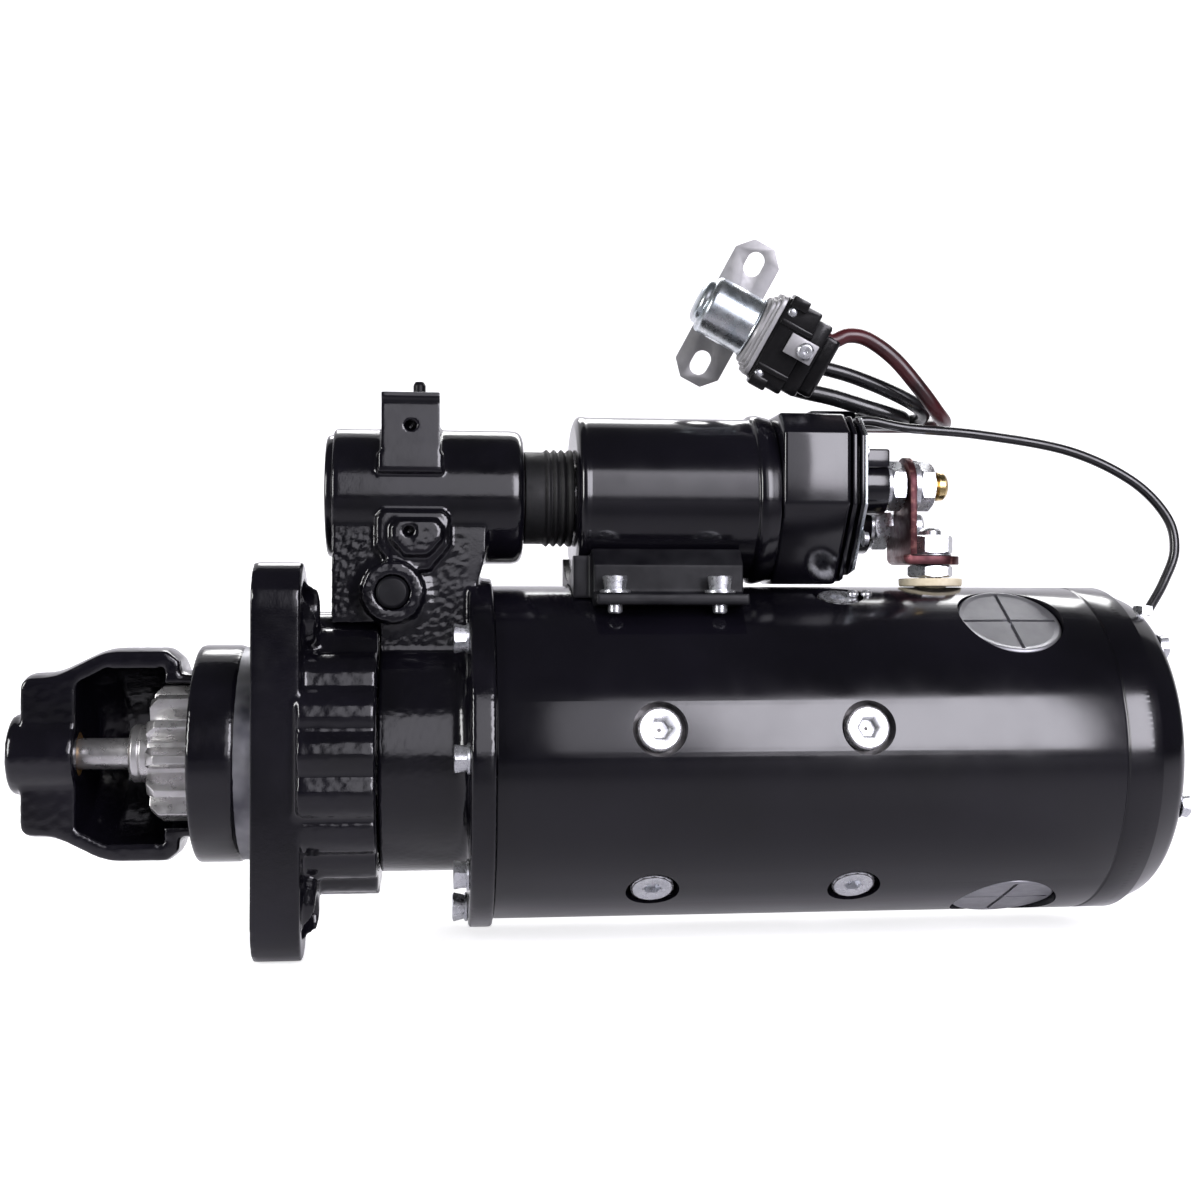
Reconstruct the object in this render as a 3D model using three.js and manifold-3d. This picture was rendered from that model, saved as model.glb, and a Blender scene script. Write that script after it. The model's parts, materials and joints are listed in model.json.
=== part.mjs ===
// A heavy-duty axial starter motor: a series motor drives a sliding pinion through a one-way clutch,
// and a solenoid on top throws the pinion into mesh with a pivoted fork and closes the motor's contacts.
//
// Millimetres. X runs along the armature shaft, from the mounting flange's front face (X = 0) to the
// commutator end. Z is up, towards the solenoid. The nose window, where the pinion meets the ring gear,
// faces -Y. Every piece is drawn about the shaft's axis. The outermost group then moves the origin onto
// the flange's mounting face.

import * as THREE from "three";
import { mergeVertices } from "three/addons/utils/BufferGeometryUtils.js";
import Module from "manifold-3d";

const wasm = await Module();
wasm.setup();

// ---------------------------------------------------------------- driving dimensions

const FLANGE_TO_SHAFT = 55; // from the origin, on the flange's face, to the shaft's axis
const GAP = 0.3; // between pieces that touch
const RUNNING = 0.15; // radial clearance where a piece turns or slides in another

const PILOT_R = 46.04; // 92.08 mm register of a three-bolt starter flange
const BOLT_CIRCLE_R = 73;
const LOBE_R = 17.3;
const BOLT_HOLE_R = 8.5;
const FLANGE_X = [0, 19.5];
const DRUM_X = [19.5, 49.1];
const DRUM_R = 60.5;

const FRAME_X = [96.5, 367];
const FRAME_R = 71.5;
const FRAME_WALL = 7.5;
const BORE_R = 47; // of the pole shoes
const POLES = 6;
const POLE_X = [140, 265];
const POLE_SCREW_X = [160.5, 244.5];
const FIRST_POLE = -48; // degrees up from -Y

const SOLENOID_Z = 109.8;
const BARREL_X = [29, 109.6];
const BARREL_R = 28.9;
const CASE_X = [131.4, 217];
const CASE_R = 35.3;
const CAP_X = [217.3, 246.3];
const CAP_HALF = 37.2;

const SHAFT_X = [-97, 371];
const SHAFT_R = 12;
const NOSE_SHAFT_R = 6.6;
const PINION_X = [-45.5, -12];
const PINION_TEETH = 12;
const PINION_R = 28.8;

const PIVOT = [54.8, 68.4]; // the fork's pivot, X and Z
const FORK_TILT = THREE.MathUtils.degToRad(7.55); // half the fork's swing
const FORK_TOP = SOLENOID_Z - PIVOT[1];
const FORK_FOOT = PIVOT[1];
const YOKE_X = PIVOT[0] + FORK_FOOT * Math.sin(FORK_TILT);
const CLEVIS_X = PIVOT[0] - FORK_TOP * Math.sin(FORK_TILT);

// ---------------------------------------------------------------- materials

function material(color, roughness, metalness) {
  return new THREE.MeshStandardMaterial({ color, roughness, metalness });
}

const BLACK_PAINT = material(0x15151c, 0.28, 0.1);
const ZINC = material(0xc9ccd2, 0.3, 0.9);
const BLUE_ZINC = material(0x8f9bb0, 0.35, 0.8);
const STEEL = material(0xb4b2b0, 0.38, 0.95);
const IRON = material(0x5c5b5e, 0.55, 0.8);
const GREY_ALLOY = material(0x94959c, 0.4, 0.8);
const COPPER = material(0xb06a45, 0.4, 0.9);
const RED_COPPER = material(0x6d3a3a, 0.45, 0.6);
const BRONZE = material(0x9c7440, 0.45, 0.85);
const BAKELITE = material(0x0e0e10, 0.5, 0);
const RUBBER = material(0x121214, 0.75, 0);
const CREAM = material(0xe6dcc0, 0.6, 0);
const CARBON = material(0x2b2725, 0.8, 0.1);
const RED_CABLE = material(0x5a1d22, 0.6, 0);
const BLACK_CABLE = material(0x131316, 0.6, 0);

// ---------------------------------------------------------------- shape helpers

const QUARTER = Math.PI / 2;
const TURN = 2 * Math.PI;

// A three.js geometry as a closed solid that manifold-3d can join and cut.
function solid(geometry) {
  const bare = geometry.index ? geometry.toNonIndexed() : geometry;
  const positions = new THREE.BufferGeometry();
  positions.setAttribute("position", bare.getAttribute("position"));
  const merged = mergeVertices(positions, 1e-4);
  const corners = merged.index.array;
  const triangles = [];
  for (let i = 0; i < corners.length; i += 3) {
    const [a, b, c] = corners.slice(i, i + 3);
    if (a !== b && b !== c && c !== a) triangles.push(a, b, c);
  }
  const vertProperties = merged.attributes.position.array;
  const close = () => {
    const triVerts = new Uint32Array(triangles);
    return new wasm.Manifold(new wasm.Mesh({ numProp: 3, vertProperties, triVerts }));
  };
  const made = close();
  if (made.volume() > 0) return made;
  triangles.reverse();
  return close();
}

function join(...solids) {
  return solids.reduce((whole, next) => whole.add(next));
}

function cut(body, ...tools) {
  return tools.reduce((rest, tool) => rest.subtract(tool), body);
}

function geometryOf(body) {
  const { numProp, numVert, vertProperties, triVerts } = body.getMesh();
  const positions = new Float32Array(numVert * 3);
  for (let i = 0; i < numVert; i++) {
    positions.set(vertProperties.subarray(i * numProp, i * numProp + 3), i * 3);
  }
  const geometry = new THREE.BufferGeometry();
  geometry.setAttribute("position", new THREE.BufferAttribute(positions, 3));
  return geometry.setIndex(new THREE.BufferAttribute(triVerts, 1));
}

// The named mesh of a solid.
function piece(name, body, look) {
  const geometry = geometryOf(body);
  geometry.computeVertexNormals();
  const mesh = new THREE.Mesh(geometry, look);
  mesh.name = name;
  return mesh;
}

function moved(body, x, y, z) {
  return solid(geometryOf(body).translate(x, y, z));
}

function turnedAboutX(body, degrees) {
  return solid(geometryOf(body).rotateX(THREE.MathUtils.degToRad(degrees)));
}

// Facets round a circle. Every count is a multiple of twelve, so that a piece which turns in another
// still matches it at each twelfth of a turn.
function roundness(r) {
  if (r > 40) return 36;
  return r > 12 ? 24 : 12;
}

// A solid of revolution about an axis along X, from its outline of [x, radius] points.
function turned(outline, { y = 0, z = 0 } = {}) {
  const points = outline.map(([x, r]) => new THREE.Vector2(r, x));
  const sides = roundness(Math.max(...outline.map(([, r]) => r)));
  return solid(new THREE.LatheGeometry(points, sides).rotateZ(-QUARTER).translate(0, y, z));
}

function cylinder(r, from, to) {
  return new THREE.CylinderGeometry(r, r, to - from, roundness(r));
}

function rodX(r, x0, x1, { y = 0, z = 0 } = {}) {
  return solid(cylinder(r, x0, x1).rotateZ(-QUARTER).translate((x0 + x1) / 2, y, z));
}

function rodY(r, y0, y1, { x = 0, z = 0 } = {}) {
  return solid(cylinder(r, y0, y1).translate(x, (y0 + y1) / 2, z));
}

function rodZ(r, z0, z1, { x = 0, y = 0 } = {}) {
  return solid(cylinder(r, z0, z1).rotateX(QUARTER).translate(x, y, (z0 + z1) / 2));
}

function sleeveX(outer, inner, x0, x1, place) {
  return turned([[x0, inner], [x0, outer], [x1, outer], [x1, inner], [x0, inner]], place);
}

function block([x0, x1], [y0, y1], [z0, z1]) {
  const box = new THREE.BoxGeometry(x1 - x0, y1 - y0, z1 - z0);
  return solid(box.translate((x0 + x1) / 2, (y0 + y1) / 2, (z0 + z1) / 2));
}

function polygon(points) {
  return new THREE.Shape(points.map(([u, v]) => new THREE.Vector2(u, v)));
}

function extruded(shape, depth, curveSegments) {
  return new THREE.ExtrudeGeometry(shape, { depth, bevelEnabled: false, curveSegments });
}

// A prism along X from a shape drawn in Y and Z.
function prismX(shape, x0, x1, curveSegments = 6) {
  const turn = new THREE.Matrix4().set(0, 0, 1, x0, 1, 0, 0, 0, 0, 1, 0, 0, 0, 0, 0, 1);
  return solid(extruded(shape, x1 - x0, curveSegments).applyMatrix4(turn));
}

// A prism along Y from a shape drawn in X and Z.
function prismY(shape, y0, y1, curveSegments = 6) {
  return solid(extruded(shape, y1 - y0, curveSegments).rotateX(QUARTER).translate(0, y1, 0));
}

function prismZ(shape, z0, z1, curveSegments = 6) {
  return solid(extruded(shape, z1 - z0, curveSegments).translate(0, 0, z0));
}

function regularPolygon(sides, flatsApart) {
  const cornerR = flatsApart / 2 / Math.cos(Math.PI / sides);
  const corners = Array.from({ length: sides }, (_, i) => {
    const angle = (i + 0.5) * (TURN / sides);
    return [cornerR * Math.cos(angle), cornerR * Math.sin(angle)];
  });
  return polygon(corners);
}

// A round cord along a smooth curve through points.
function cord(points, r, steps) {
  const path = new THREE.CatmullRomCurve3(points.map((p) => new THREE.Vector3(...p)));
  const section = new THREE.Shape().absarc(0, 0, r, 0, TURN);
  const options = { steps, extrudePath: path, curveSegments: 3 };
  return solid(new THREE.ExtrudeGeometry(section, options));
}

class Helix extends THREE.Curve {
  constructor(r, x0, x1, turns) {
    super();
    Object.assign(this, { r, x0, x1, turns });
  }

  getPoint(t, target = new THREE.Vector3()) {
    const angle = TURN * this.turns * t;
    const x = THREE.MathUtils.lerp(this.x0, this.x1, t);
    return target.set(x, this.r * Math.cos(angle), this.r * Math.sin(angle));
  }
}

// A coil spring about an axis along X.
function spring(coilR, wireR, x0, x1, turns) {
  const section = new THREE.Shape().absarc(0, 0, wireR, 0, TURN);
  const extrudePath = new Helix(coilR, x0 + wireR, x1 - wireR, turns);
  const options = { steps: 12 * turns, extrudePath, curveSegments: 2 };
  return solid(new THREE.ExtrudeGeometry(section, options));
}

// Turns whatever is drawn towards +Z so that it points out from the shaft, degrees up from -Y.
function turnedOut(degreesUp, ...meshes) {
  const group = new THREE.Group();
  group.rotation.x = QUARTER - THREE.MathUtils.degToRad(degreesUp);
  return group.add(...meshes);
}

function outwards(body, degreesUp) {
  return turnedAboutX(body, 90 - degreesUp);
}

// ---------------------------------------------------------------- drive end housing

function flangeOutline() {
  const outline = new THREE.Shape();
  for (let lobe = 0; lobe < 3; lobe++) {
    const angle = (lobe * TURN) / 3;
    const y = BOLT_CIRCLE_R * Math.cos(angle);
    const z = BOLT_CIRCLE_R * Math.sin(angle);
    outline.absarc(y, z, LOBE_R, angle - Math.PI / 3, angle + Math.PI / 3);
  }
  return outline;
}

// A ring of rounded flutes: each is an arc that reaches outerR and meets its neighbours at grooveR.
function flutedOutline(outerR, grooveR, flutes, firstAngle) {
  const half = Math.PI / flutes;
  const centreR = (outerR ** 2 - grooveR ** 2) / (2 * (outerR - grooveR * Math.cos(half)));
  const fluteR = outerR - centreR;
  const sweep = Math.atan2(grooveR * Math.sin(half), grooveR * Math.cos(half) - centreR);
  const outline = new THREE.Shape();
  for (let flute = 0; flute < flutes; flute++) {
    const angle = firstAngle + 2 * half * flute;
    const y = centreR * Math.cos(angle);
    const z = centreR * Math.sin(angle);
    outline.absarc(y, z, fluteR, angle - sweep, angle + sweep);
  }
  return outline;
}

const NOSE_X = [-98.4, -34];
const NOSE_R = 45;
const NOSE_TIP_R = 34.5;
const NOSE_TAPER_X = [-85, -64];
const NOSE_WALL = 6.5;
const END_WALL_X = -40; // the nose's rear wall, in front of the pilot
const NECK_R = 35.5; // of the groove behind the nose
const NOSE_BOSS_X = [-104.2, -76];
const NOSE_BOSS_R = 17;
const WINDOW_Y = -12;
const PILOT_X = [-26.3, -8.2];
const NOSE_BUSH_R = 9.5;
const DRUM_BORE_R = 50;
const HOUSING_BORE_R = 32.2;
const FORK_SLOT_HALF = 16;

function driveHousing() {
  const arms = turned([
    [NOSE_X[0], 0],
    [NOSE_X[0], NOSE_TIP_R - 3.5],
    [NOSE_X[0] + 3.5, NOSE_TIP_R],
    [NOSE_TAPER_X[0], NOSE_TIP_R],
    [NOSE_TAPER_X[1], NOSE_R],
    [END_WALL_X, NOSE_R],
    [NOSE_X[1], NOSE_R - 4],
    [NOSE_X[1], NECK_R],
    [PILOT_X[0], NECK_R],
    [PILOT_X[0], PILOT_R - 1],
    [PILOT_X[0] + 1, PILOT_R],
    [PILOT_X[1], PILOT_R],
    [PILOT_X[1], PILOT_R - 1.2],
    [1, PILOT_R - 1.2],
    [1, 0],
  ]);
  const window = block([NOSE_X[0] - 5, PILOT_X[0] - 0.5], [-60, WINDOW_Y], [-60, 60]);
  const cavity = turned([
    [NOSE_BOSS_X[1], 0],
    [NOSE_BOSS_X[1], NOSE_TIP_R - 2],
    [NOSE_TAPER_X[1], NOSE_R - NOSE_WALL],
    [END_WALL_X, NOSE_R - NOSE_WALL],
    [END_WALL_X, HOUSING_BORE_R],
    [12, HOUSING_BORE_R],
    [22, DRUM_BORE_R],
    [DRUM_X[1] + 1, DRUM_BORE_R],
    [DRUM_X[1] + 1, 0],
  ]);
  const boss = turned([
    [NOSE_BOSS_X[0], 0],
    [NOSE_BOSS_X[0], NOSE_BOSS_R - 3],
    [NOSE_BOSS_X[0] + 3, NOSE_BOSS_R],
    [NOSE_BOSS_X[1], NOSE_BOSS_R],
    [NOSE_BOSS_X[1], 0],
  ]);
  const bushSeat = rodX(NOSE_BUSH_R, SHAFT_X[0] - 1, NOSE_BOSS_X[1] + 1);
  const flange = prismX(flangeOutline(), ...FLANGE_X, 4);
  const drum = prismX(flutedOutline(DRUM_R, DRUM_R - 3, 20, THREE.MathUtils.degToRad(13)), ...DRUM_X, 2);
  const casting = join(arms, flange, drum, ...[120, 240].map(lobeGusset));
  const boltHoles = [0, 120, 240].map((degrees) =>
    turnedAboutX(rodX(BOLT_HOLE_R, -1, 26, { y: BOLT_CIRCLE_R }), degrees));
  const forkSlot = block([40, 60], [-FORK_SLOT_HALF, FORK_SLOT_HALF], [35, 70]);
  const hollowed = cut(casting, window, cavity, ...boltHoles, forkSlot);
  return piece("drive_housing", cut(join(hollowed, boss), bushSeat), BLACK_PAINT);
}

// The tapered web behind a flange lobe, which the bolt hole goes through.
function lobeGusset(degrees) {
  const gusset = turned([[19, 0], [19, 14.5], [25, 11.5], [25, 0]], { y: BOLT_CIRCLE_R - 6 });
  return turnedAboutX(gusset, degrees);
}

function noseBushing() {
  const bush = sleeveX(NOSE_BUSH_R - GAP, NOSE_SHAFT_R + RUNNING, SHAFT_X[0] + 1, NOSE_BOSS_X[1] - 1);
  return piece("nose_bushing", bush, BRONZE);
}

// ---------------------------------------------------------------- fork housing

const FORK_BODY_X = [49.4, 86.5];
const FORK_BODY_R = 51;
const FORK_CAVITY_R = 44;
const RIM_X = [86.2, 96.2];
const RIM_R = 75;
const RIM_BOLTS_R = 67;
const CENTRE_WALL_X = [80, 88];
const CENTRE_BUSH_R = 16;
const NECK_X = [29.6, 93.5];
const NECK_HALF = 26;
const BARREL_BORE_R = 23;
const PLUG_R = 26.3;
const PLUG_X = [26.4, 33];
const PIVOT_PIN_R = 5;
const PIVOT_HEAD_R = 6.75;
const PIVOT_Y = [-36, 27];

function forkHousing() {
  const body = rodX(FORK_BODY_R, ...FORK_BODY_X);
  const rim = rodX(RIM_R, ...RIM_X);
  const neckOutline = polygon([
    [49.8, 38], [49.8, 50], [NECK_X[0], 50], [NECK_X[0], SOLENOID_Z],
    [NECK_X[1], SOLENOID_Z], [NECK_X[1], 84], [89, 70], [86, 38],
  ]);
  const neck = prismY(neckOutline, -NECK_HALF, NECK_HALF);
  const barrel = turned([
    [BARREL_X[0], 0], [BARREL_X[0], BARREL_R], [BARREL_X[1] - 4, BARREL_R],
    [BARREL_X[1] - 1, BARREL_R - 1.2], [BARREL_X[1], BARREL_R - 4], [BARREL_X[1], 0],
  ], { z: SOLENOID_Z });
  const tower = block([50, 74], [-30, 6], [118, 151.4]);
  const pad = prismY(eightSided(61, 91, 17), -33, -20);
  const octagon = prismY(eightSided(61.5, 93.5, 13), -37, -20);
  const pivotBoss = rodY(12.5, PIVOT_Y[0] + 1, 30, { x: PIVOT[0], z: PIVOT[1] });
  const shell = join(body, rim, neck, barrel, tower, pad, octagon, pivotBoss, ...rimBolts());

  const lowerCavity = rodX(FORK_CAVITY_R, 40, CENTRE_WALL_X[0]);
  const rearCavity = rodX(FRAME_R - FRAME_WALL, CENTRE_WALL_X[1], RIM_X[1] + 1);
  const slot = block([40, 78], [-FORK_SLOT_HALF, FORK_SLOT_HALF], [30, SOLENOID_Z]);
  const barrelBore = rodX(BARREL_BORE_R, PLUG_X[0], BARREL_X[1] + 1, { z: SOLENOID_Z });
  const plugSeat = rodX(PLUG_R + GAP, PLUG_X[0], PLUG_X[1] + GAP, { z: SOLENOID_Z });
  const shaftHole = rodX(CENTRE_BUSH_R, CENTRE_WALL_X[0] - 1, CENTRE_WALL_X[1] + 1);
  const pinHole = join(
    rodY(PIVOT_PIN_R + GAP, PIVOT_Y[0], PIVOT_Y[1] + GAP, { x: PIVOT[0], z: PIVOT[1] }),
    rodY(PIVOT_HEAD_R + GAP, PIVOT_Y[0], PIVOT_Y[0] + 5, { x: PIVOT[0], z: PIVOT[1] }),
  );
  const tappedHoles = [
    rodY(2.2, -31, -18, { x: 62, z: 137.5 }),
    rodY(2.2, -38, -28, { x: 61.5, z: 93.5 }),
  ];
  const hollows = [lowerCavity, rearCavity, slot, barrelBore, plugSeat, shaftHole, pinHole];
  const drumRoom = rodX(DRUM_R + GAP, 20, FORK_BODY_X[0]);
  return piece("fork_housing", cut(shell, drumRoom, ...hollows, ...tappedHoles), BLACK_PAINT);
}

// An outline of eight sides about a centre in X and Z, half as wide as it is across its flats.
function eightSided(x, z, half) {
  const c = half * 0.45;
  return polygon([
    [x - half, z + c], [x - half, z - c], [x - c, z - half * 0.78], [x + c, z - half * 0.78],
    [x + half, z - c], [x + half, z + c], [x + c, z + half * 0.78], [x - c, z + half * 0.78],
  ]);
}

// The heads of the bolts that hold the fork housing to the frame. The top one is inside the neck.
function rimBolts() {
  return [48, 3, -42, -87, -132, 183, 138].map((degreesUp) => {
    const head = prismX(regularPolygon(6, 12.5), RIM_X[0] - 6.7, RIM_X[0] + GAP);
    return outwards(moved(head, 0, 0, RIM_BOLTS_R), degreesUp);
  });
}

function barrelPlug() {
  const plug = turned([
    [PLUG_X[0], 0], [PLUG_X[0], PLUG_R - 4], [PLUG_X[0] + 1.5, PLUG_R],
    [PLUG_X[1], PLUG_R], [PLUG_X[1], 0],
  ], { z: SOLENOID_Z });
  return piece("barrel_plug", plug, BLACK_PAINT);
}

function centreBushing() {
  const bush = sleeveX(CENTRE_BUSH_R - GAP, SHAFT_R + RUNNING, ...CENTRE_WALL_X);
  return piece("centre_bushing", bush, BRONZE);
}

function forkPivotPin() {
  const place = { x: PIVOT[0], z: PIVOT[1] };
  const pin = rodY(PIVOT_PIN_R, PIVOT_Y[0] + 1, PIVOT_Y[1], place);
  const head = rodY(PIVOT_HEAD_R, PIVOT_Y[0] + 0.5, PIVOT_Y[0] + 4.5, place);
  return piece("fork_pivot_pin", join(pin, head), IRON);
}

// ---------------------------------------------------------------- frame, poles and field

const FRAME_INNER_R = FRAME_R - FRAME_WALL;
const SCREW_R = 8.75;
const SCREW_HOLE_R = 11;
const PLUG_X_CENTRE = 314.5;
const INSPECTION_ANGLES = [56, -64, 176];
const INSPECTION_R = 22;
const FIELD_STUD_X = 292.7;

function frame() {
  const tube = sleeveX(FRAME_R, FRAME_INNER_R, ...FRAME_X);
  const screwHoles = Array.from({ length: POLES }, (_, pole) =>
    POLE_SCREW_X.map((x) => outwards(rodZ(SCREW_HOLE_R, 60, 80, { x }), poleAngle(pole))));
  const inspectionHoles = INSPECTION_ANGLES.map((angle) =>
    outwards(rodZ(INSPECTION_R + GAP, 55, 80, { x: PLUG_X_CENTRE }), angle));
  const studHole = rodZ(7.5, 55, 80, { x: FIELD_STUD_X });
  return piece("field_frame", cut(tube, ...screwHoles.flat(), ...inspectionHoles, studHole), BLACK_PAINT);
}

function poleAngle(pole) {
  return FIRST_POLE + (pole * 360) / POLES;
}

// A pole shoe with the two socket-head screws that hold it against the frame, drawn at the top.
function poleShoe(pole) {
  const half = THREE.MathUtils.degToRad(22);
  const outerR = FRAME_INNER_R - GAP;
  const section = new THREE.Shape();
  section.absarc(0, 0, outerR, QUARTER - half * 0.7, QUARTER + half * 0.7, false);
  section.absarc(0, 0, BORE_R + 4, QUARTER + half, QUARTER + half, false);
  section.absarc(0, 0, BORE_R, QUARTER + half, QUARTER - half, true);
  section.absarc(0, 0, BORE_R + 4, QUARTER - half, QUARTER - half, false);
  const shoe = prismX(section, ...POLE_X, 4);
  const screws = POLE_SCREW_X.map((x) => cut(
    rodZ(SCREW_R, outerR - 4, FRAME_R - 1, { x }),
    rodZ(4, FRAME_R - 5, FRAME_R + 1, { x }),
  ));
  return turnedOut(poleAngle(pole), piece(`pole_shoe_${pole + 1}`, join(shoe, ...screws), IRON));
}

// The six series coils and the jumpers between them: a sleeve with a window around each pole.
function fieldCoils() {
  const sleeve = sleeveX(61.5, 52.5, POLE_X[0] - 12, POLE_X[1] + 12);
  const windows = Array.from({ length: POLES }, (_, pole) =>
    outwards(block([POLE_X[0] - 1, POLE_X[1] + 1], [-20.5, 20.5], [40, 80]), poleAngle(pole)));
  return piece("field_coils", cut(sleeve, ...windows), COPPER);
}

// A round inspection plug over the brushes, slotted crosswise, drawn at the top.
function inspectionPlug(index) {
  const x = PLUG_X_CENTRE;
  const disc = rodZ(INSPECTION_R, FRAME_INNER_R - 4, FRAME_R - 2.5, { x });
  const slots = [
    block([x - 12, x + 12], [-2, 2], [FRAME_R - 5, FRAME_R]),
    block([x - 2, x + 2], [-12, 12], [FRAME_R - 5, FRAME_R]),
  ];
  return turnedOut(INSPECTION_ANGLES[index], piece(`brush_plug_${index + 1}`, cut(disc, ...slots), GREY_ALLOY));
}

// ---------------------------------------------------------------- commutator end

const COVER_X = [367.3, 381];
const COVER_BOLTS_R = 58;
const COMMUTATOR_X = [296, 334];
const COMMUTATOR_R = 25;
const BRUSH_ANGLES = [45, 135, 225, 315];
const BRUSH_X = [306, 322];
const HOLDER_X = [303, 325];

function rearCover() {
  const cover = turned([
    [COVER_X[0] - 8, FRAME_INNER_R - GAP],
    [COVER_X[0], FRAME_INNER_R - GAP],
    [COVER_X[0], FRAME_R],
    [COVER_X[0] + 5, FRAME_R],
    [COVER_X[1] - 3, 66],
    [COVER_X[1], 62],
    [COVER_X[1], 0],
    [COVER_X[1] - 5, 0],
    [COVER_X[1] - 5, 14],
    [352, 14],
    [352, 22],
    [COVER_X[1] - 8, 26],
    [COVER_X[1] - 8, 56],
    [COVER_X[0] - 8, 58],
    [COVER_X[0] - 8, FRAME_INNER_R - GAP],
  ]);
  const bolts = [-20, 52, 124, 196, 268].map((degreesUp) => {
    const head = prismX(regularPolygon(6, 10), COVER_X[1] - 1, COVER_X[1] + 4.5);
    return outwards(moved(head, 0, 0, COVER_BOLTS_R), degreesUp);
  });
  return piece("rear_cover", join(cover, ...bolts), BLACK_PAINT);
}

const REAR_SHAFT_R = 9;

function rearBushing() {
  return piece("rear_bushing", sleeveX(14 - GAP, REAR_SHAFT_R + RUNNING, 352.5, 371.5), BRONZE);
}

function brushHolder() {
  const ring = sleeveX(56, 29, ...HOLDER_X);
  const boxes = BRUSH_ANGLES.map((angle) =>
    outwards(block([BRUSH_X[0] - GAP, BRUSH_X[1] + GAP], [-8.3, 8.3], [20, 64]), angle));
  return piece("brush_holder", cut(ring, ...boxes), BAKELITE);
}

function brush(index) {
  const carbon = block(BRUSH_X, [-8, 8], [COMMUTATOR_R + 1.8, 48]);
  return turnedOut(BRUSH_ANGLES[index], piece(`brush_${index + 1}`, carbon, CARBON));
}

// ---------------------------------------------------------------- armature

const SLOTS = 18;
const CORE_R = 46;

function armatureShaft() {
  const shaft = turned([
    [SHAFT_X[0] + 2, 0], [SHAFT_X[0] + 2, NOSE_SHAFT_R], [-10, NOSE_SHAFT_R], [-10, 9],
    [14, 9], [14, SHAFT_R], [345, SHAFT_R], [345, REAR_SHAFT_R], [SHAFT_X[1], REAR_SHAFT_R], [SHAFT_X[1], 0],
  ]);
  return piece("armature_shaft", shaft, STEEL);
}

// The bar-wound slots, as a ring of blocks of a half width, between two radii.
function slotBars(halfWidth, innerR, outerR, [x0, x1]) {
  return Array.from({ length: SLOTS }, (_, i) =>
    turnedAboutX(block([x0, x1], [-halfWidth, halfWidth], [innerR, outerR]), (i * 360) / SLOTS));
}

function armatureCore() {
  const stack = sleeveX(CORE_R, SHAFT_R + GAP, ...POLE_X);
  return piece("armature_core", cut(stack, ...slotBars(3.3, 28, 50, [POLE_X[0] - 1, POLE_X[1] + 1])), IRON);
}

function armatureWinding() {
  const front = sleeveX(43, 24, POLE_X[0] - 16, POLE_X[0] - 0.5);
  const rear = turned([
    [POLE_X[1] + 0.5, 24], [POLE_X[1] + 0.5, 43], [282, 43], [COMMUTATOR_X[0] - 0.5, 27],
    [COMMUTATOR_X[0] - 0.5, 20], [POLE_X[1] + 0.5, 24],
  ]);
  const bars = slotBars(3, 28.4, 43, [POLE_X[0] - 2, POLE_X[1] + 2]);
  return piece("armature_winding", join(front, rear, ...bars), COPPER);
}

function commutator() {
  return piece("commutator", sleeveX(COMMUTATOR_R, SHAFT_R + GAP, ...COMMUTATOR_X), COPPER);
}

// ---------------------------------------------------------------- drive

const CLUTCH_X = [-11, 30];
const CLUTCH_R = 31;
const COLLAR_X = [40, 72];
const YOKE_GROOVE = 9;
const HUB_R = 18.5;

// Involute teeth are drawn as trapezoids that follow the pitch circle.
function pinionOutline(teeth, outerR, depth) {
  const pitch = TURN / teeth;
  const points = [];
  for (let tooth = 0; tooth < teeth; tooth++) {
    const at = (share, r) => {
      const angle = (tooth + share) * pitch;
      points.push([r * Math.cos(angle), r * Math.sin(angle)]);
    };
    at(-0.36, outerR - depth);
    at(-0.24, outerR - depth * 0.55);
    at(-0.12, outerR);
    at(0.12, outerR);
    at(0.24, outerR - depth * 0.55);
    at(0.36, outerR - depth);
  }
  return polygon(points);
}

function pinion() {
  const gear = prismX(pinionOutline(PINION_TEETH, PINION_R, 8.6), ...PINION_X);
  const bore = rodX(NOSE_SHAFT_R + 2.6, PINION_X[0] - 1, PINION_X[1] + 1);
  return piece("pinion", cut(gear, bore), STEEL);
}

// The retaining ring in front of the pinion.
function pinionRing() {
  const [front, back] = [PINION_X[0] - 9.7, PINION_X[0] - GAP];
  const ring = turned([
    [front, NOSE_SHAFT_R + 1], [front, 11], [front + 1.3, 12.3], [back, 12.3],
    [back, NOSE_SHAFT_R + 1], [front, NOSE_SHAFT_R + 1],
  ]);
  return piece("pinion_ring", ring, STEEL);
}

function clutchShell() {
  const shell = turned([
    [CLUTCH_X[0], 12.5], [CLUTCH_X[0], CLUTCH_R - 2], [CLUTCH_X[0] + 2, CLUTCH_R], [CLUTCH_X[1] - 3, CLUTCH_R],
    [CLUTCH_X[1], CLUTCH_R - 4], [CLUTCH_X[1], HUB_R], [COLLAR_X[1] + 4, HUB_R], [COLLAR_X[1] + 4, SHAFT_R + 0.5],
    [14 - 0.6, SHAFT_R + 0.5], [CLUTCH_X[0], 12.5],
  ]);
  return piece("clutch_shell", shell, STEEL);
}

function meshingSpring() {
  return piece("meshing_spring", spring(22, 1.6, CLUTCH_X[1] + 0.5, COLLAR_X[0] + 13, 3), STEEL);
}

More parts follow.
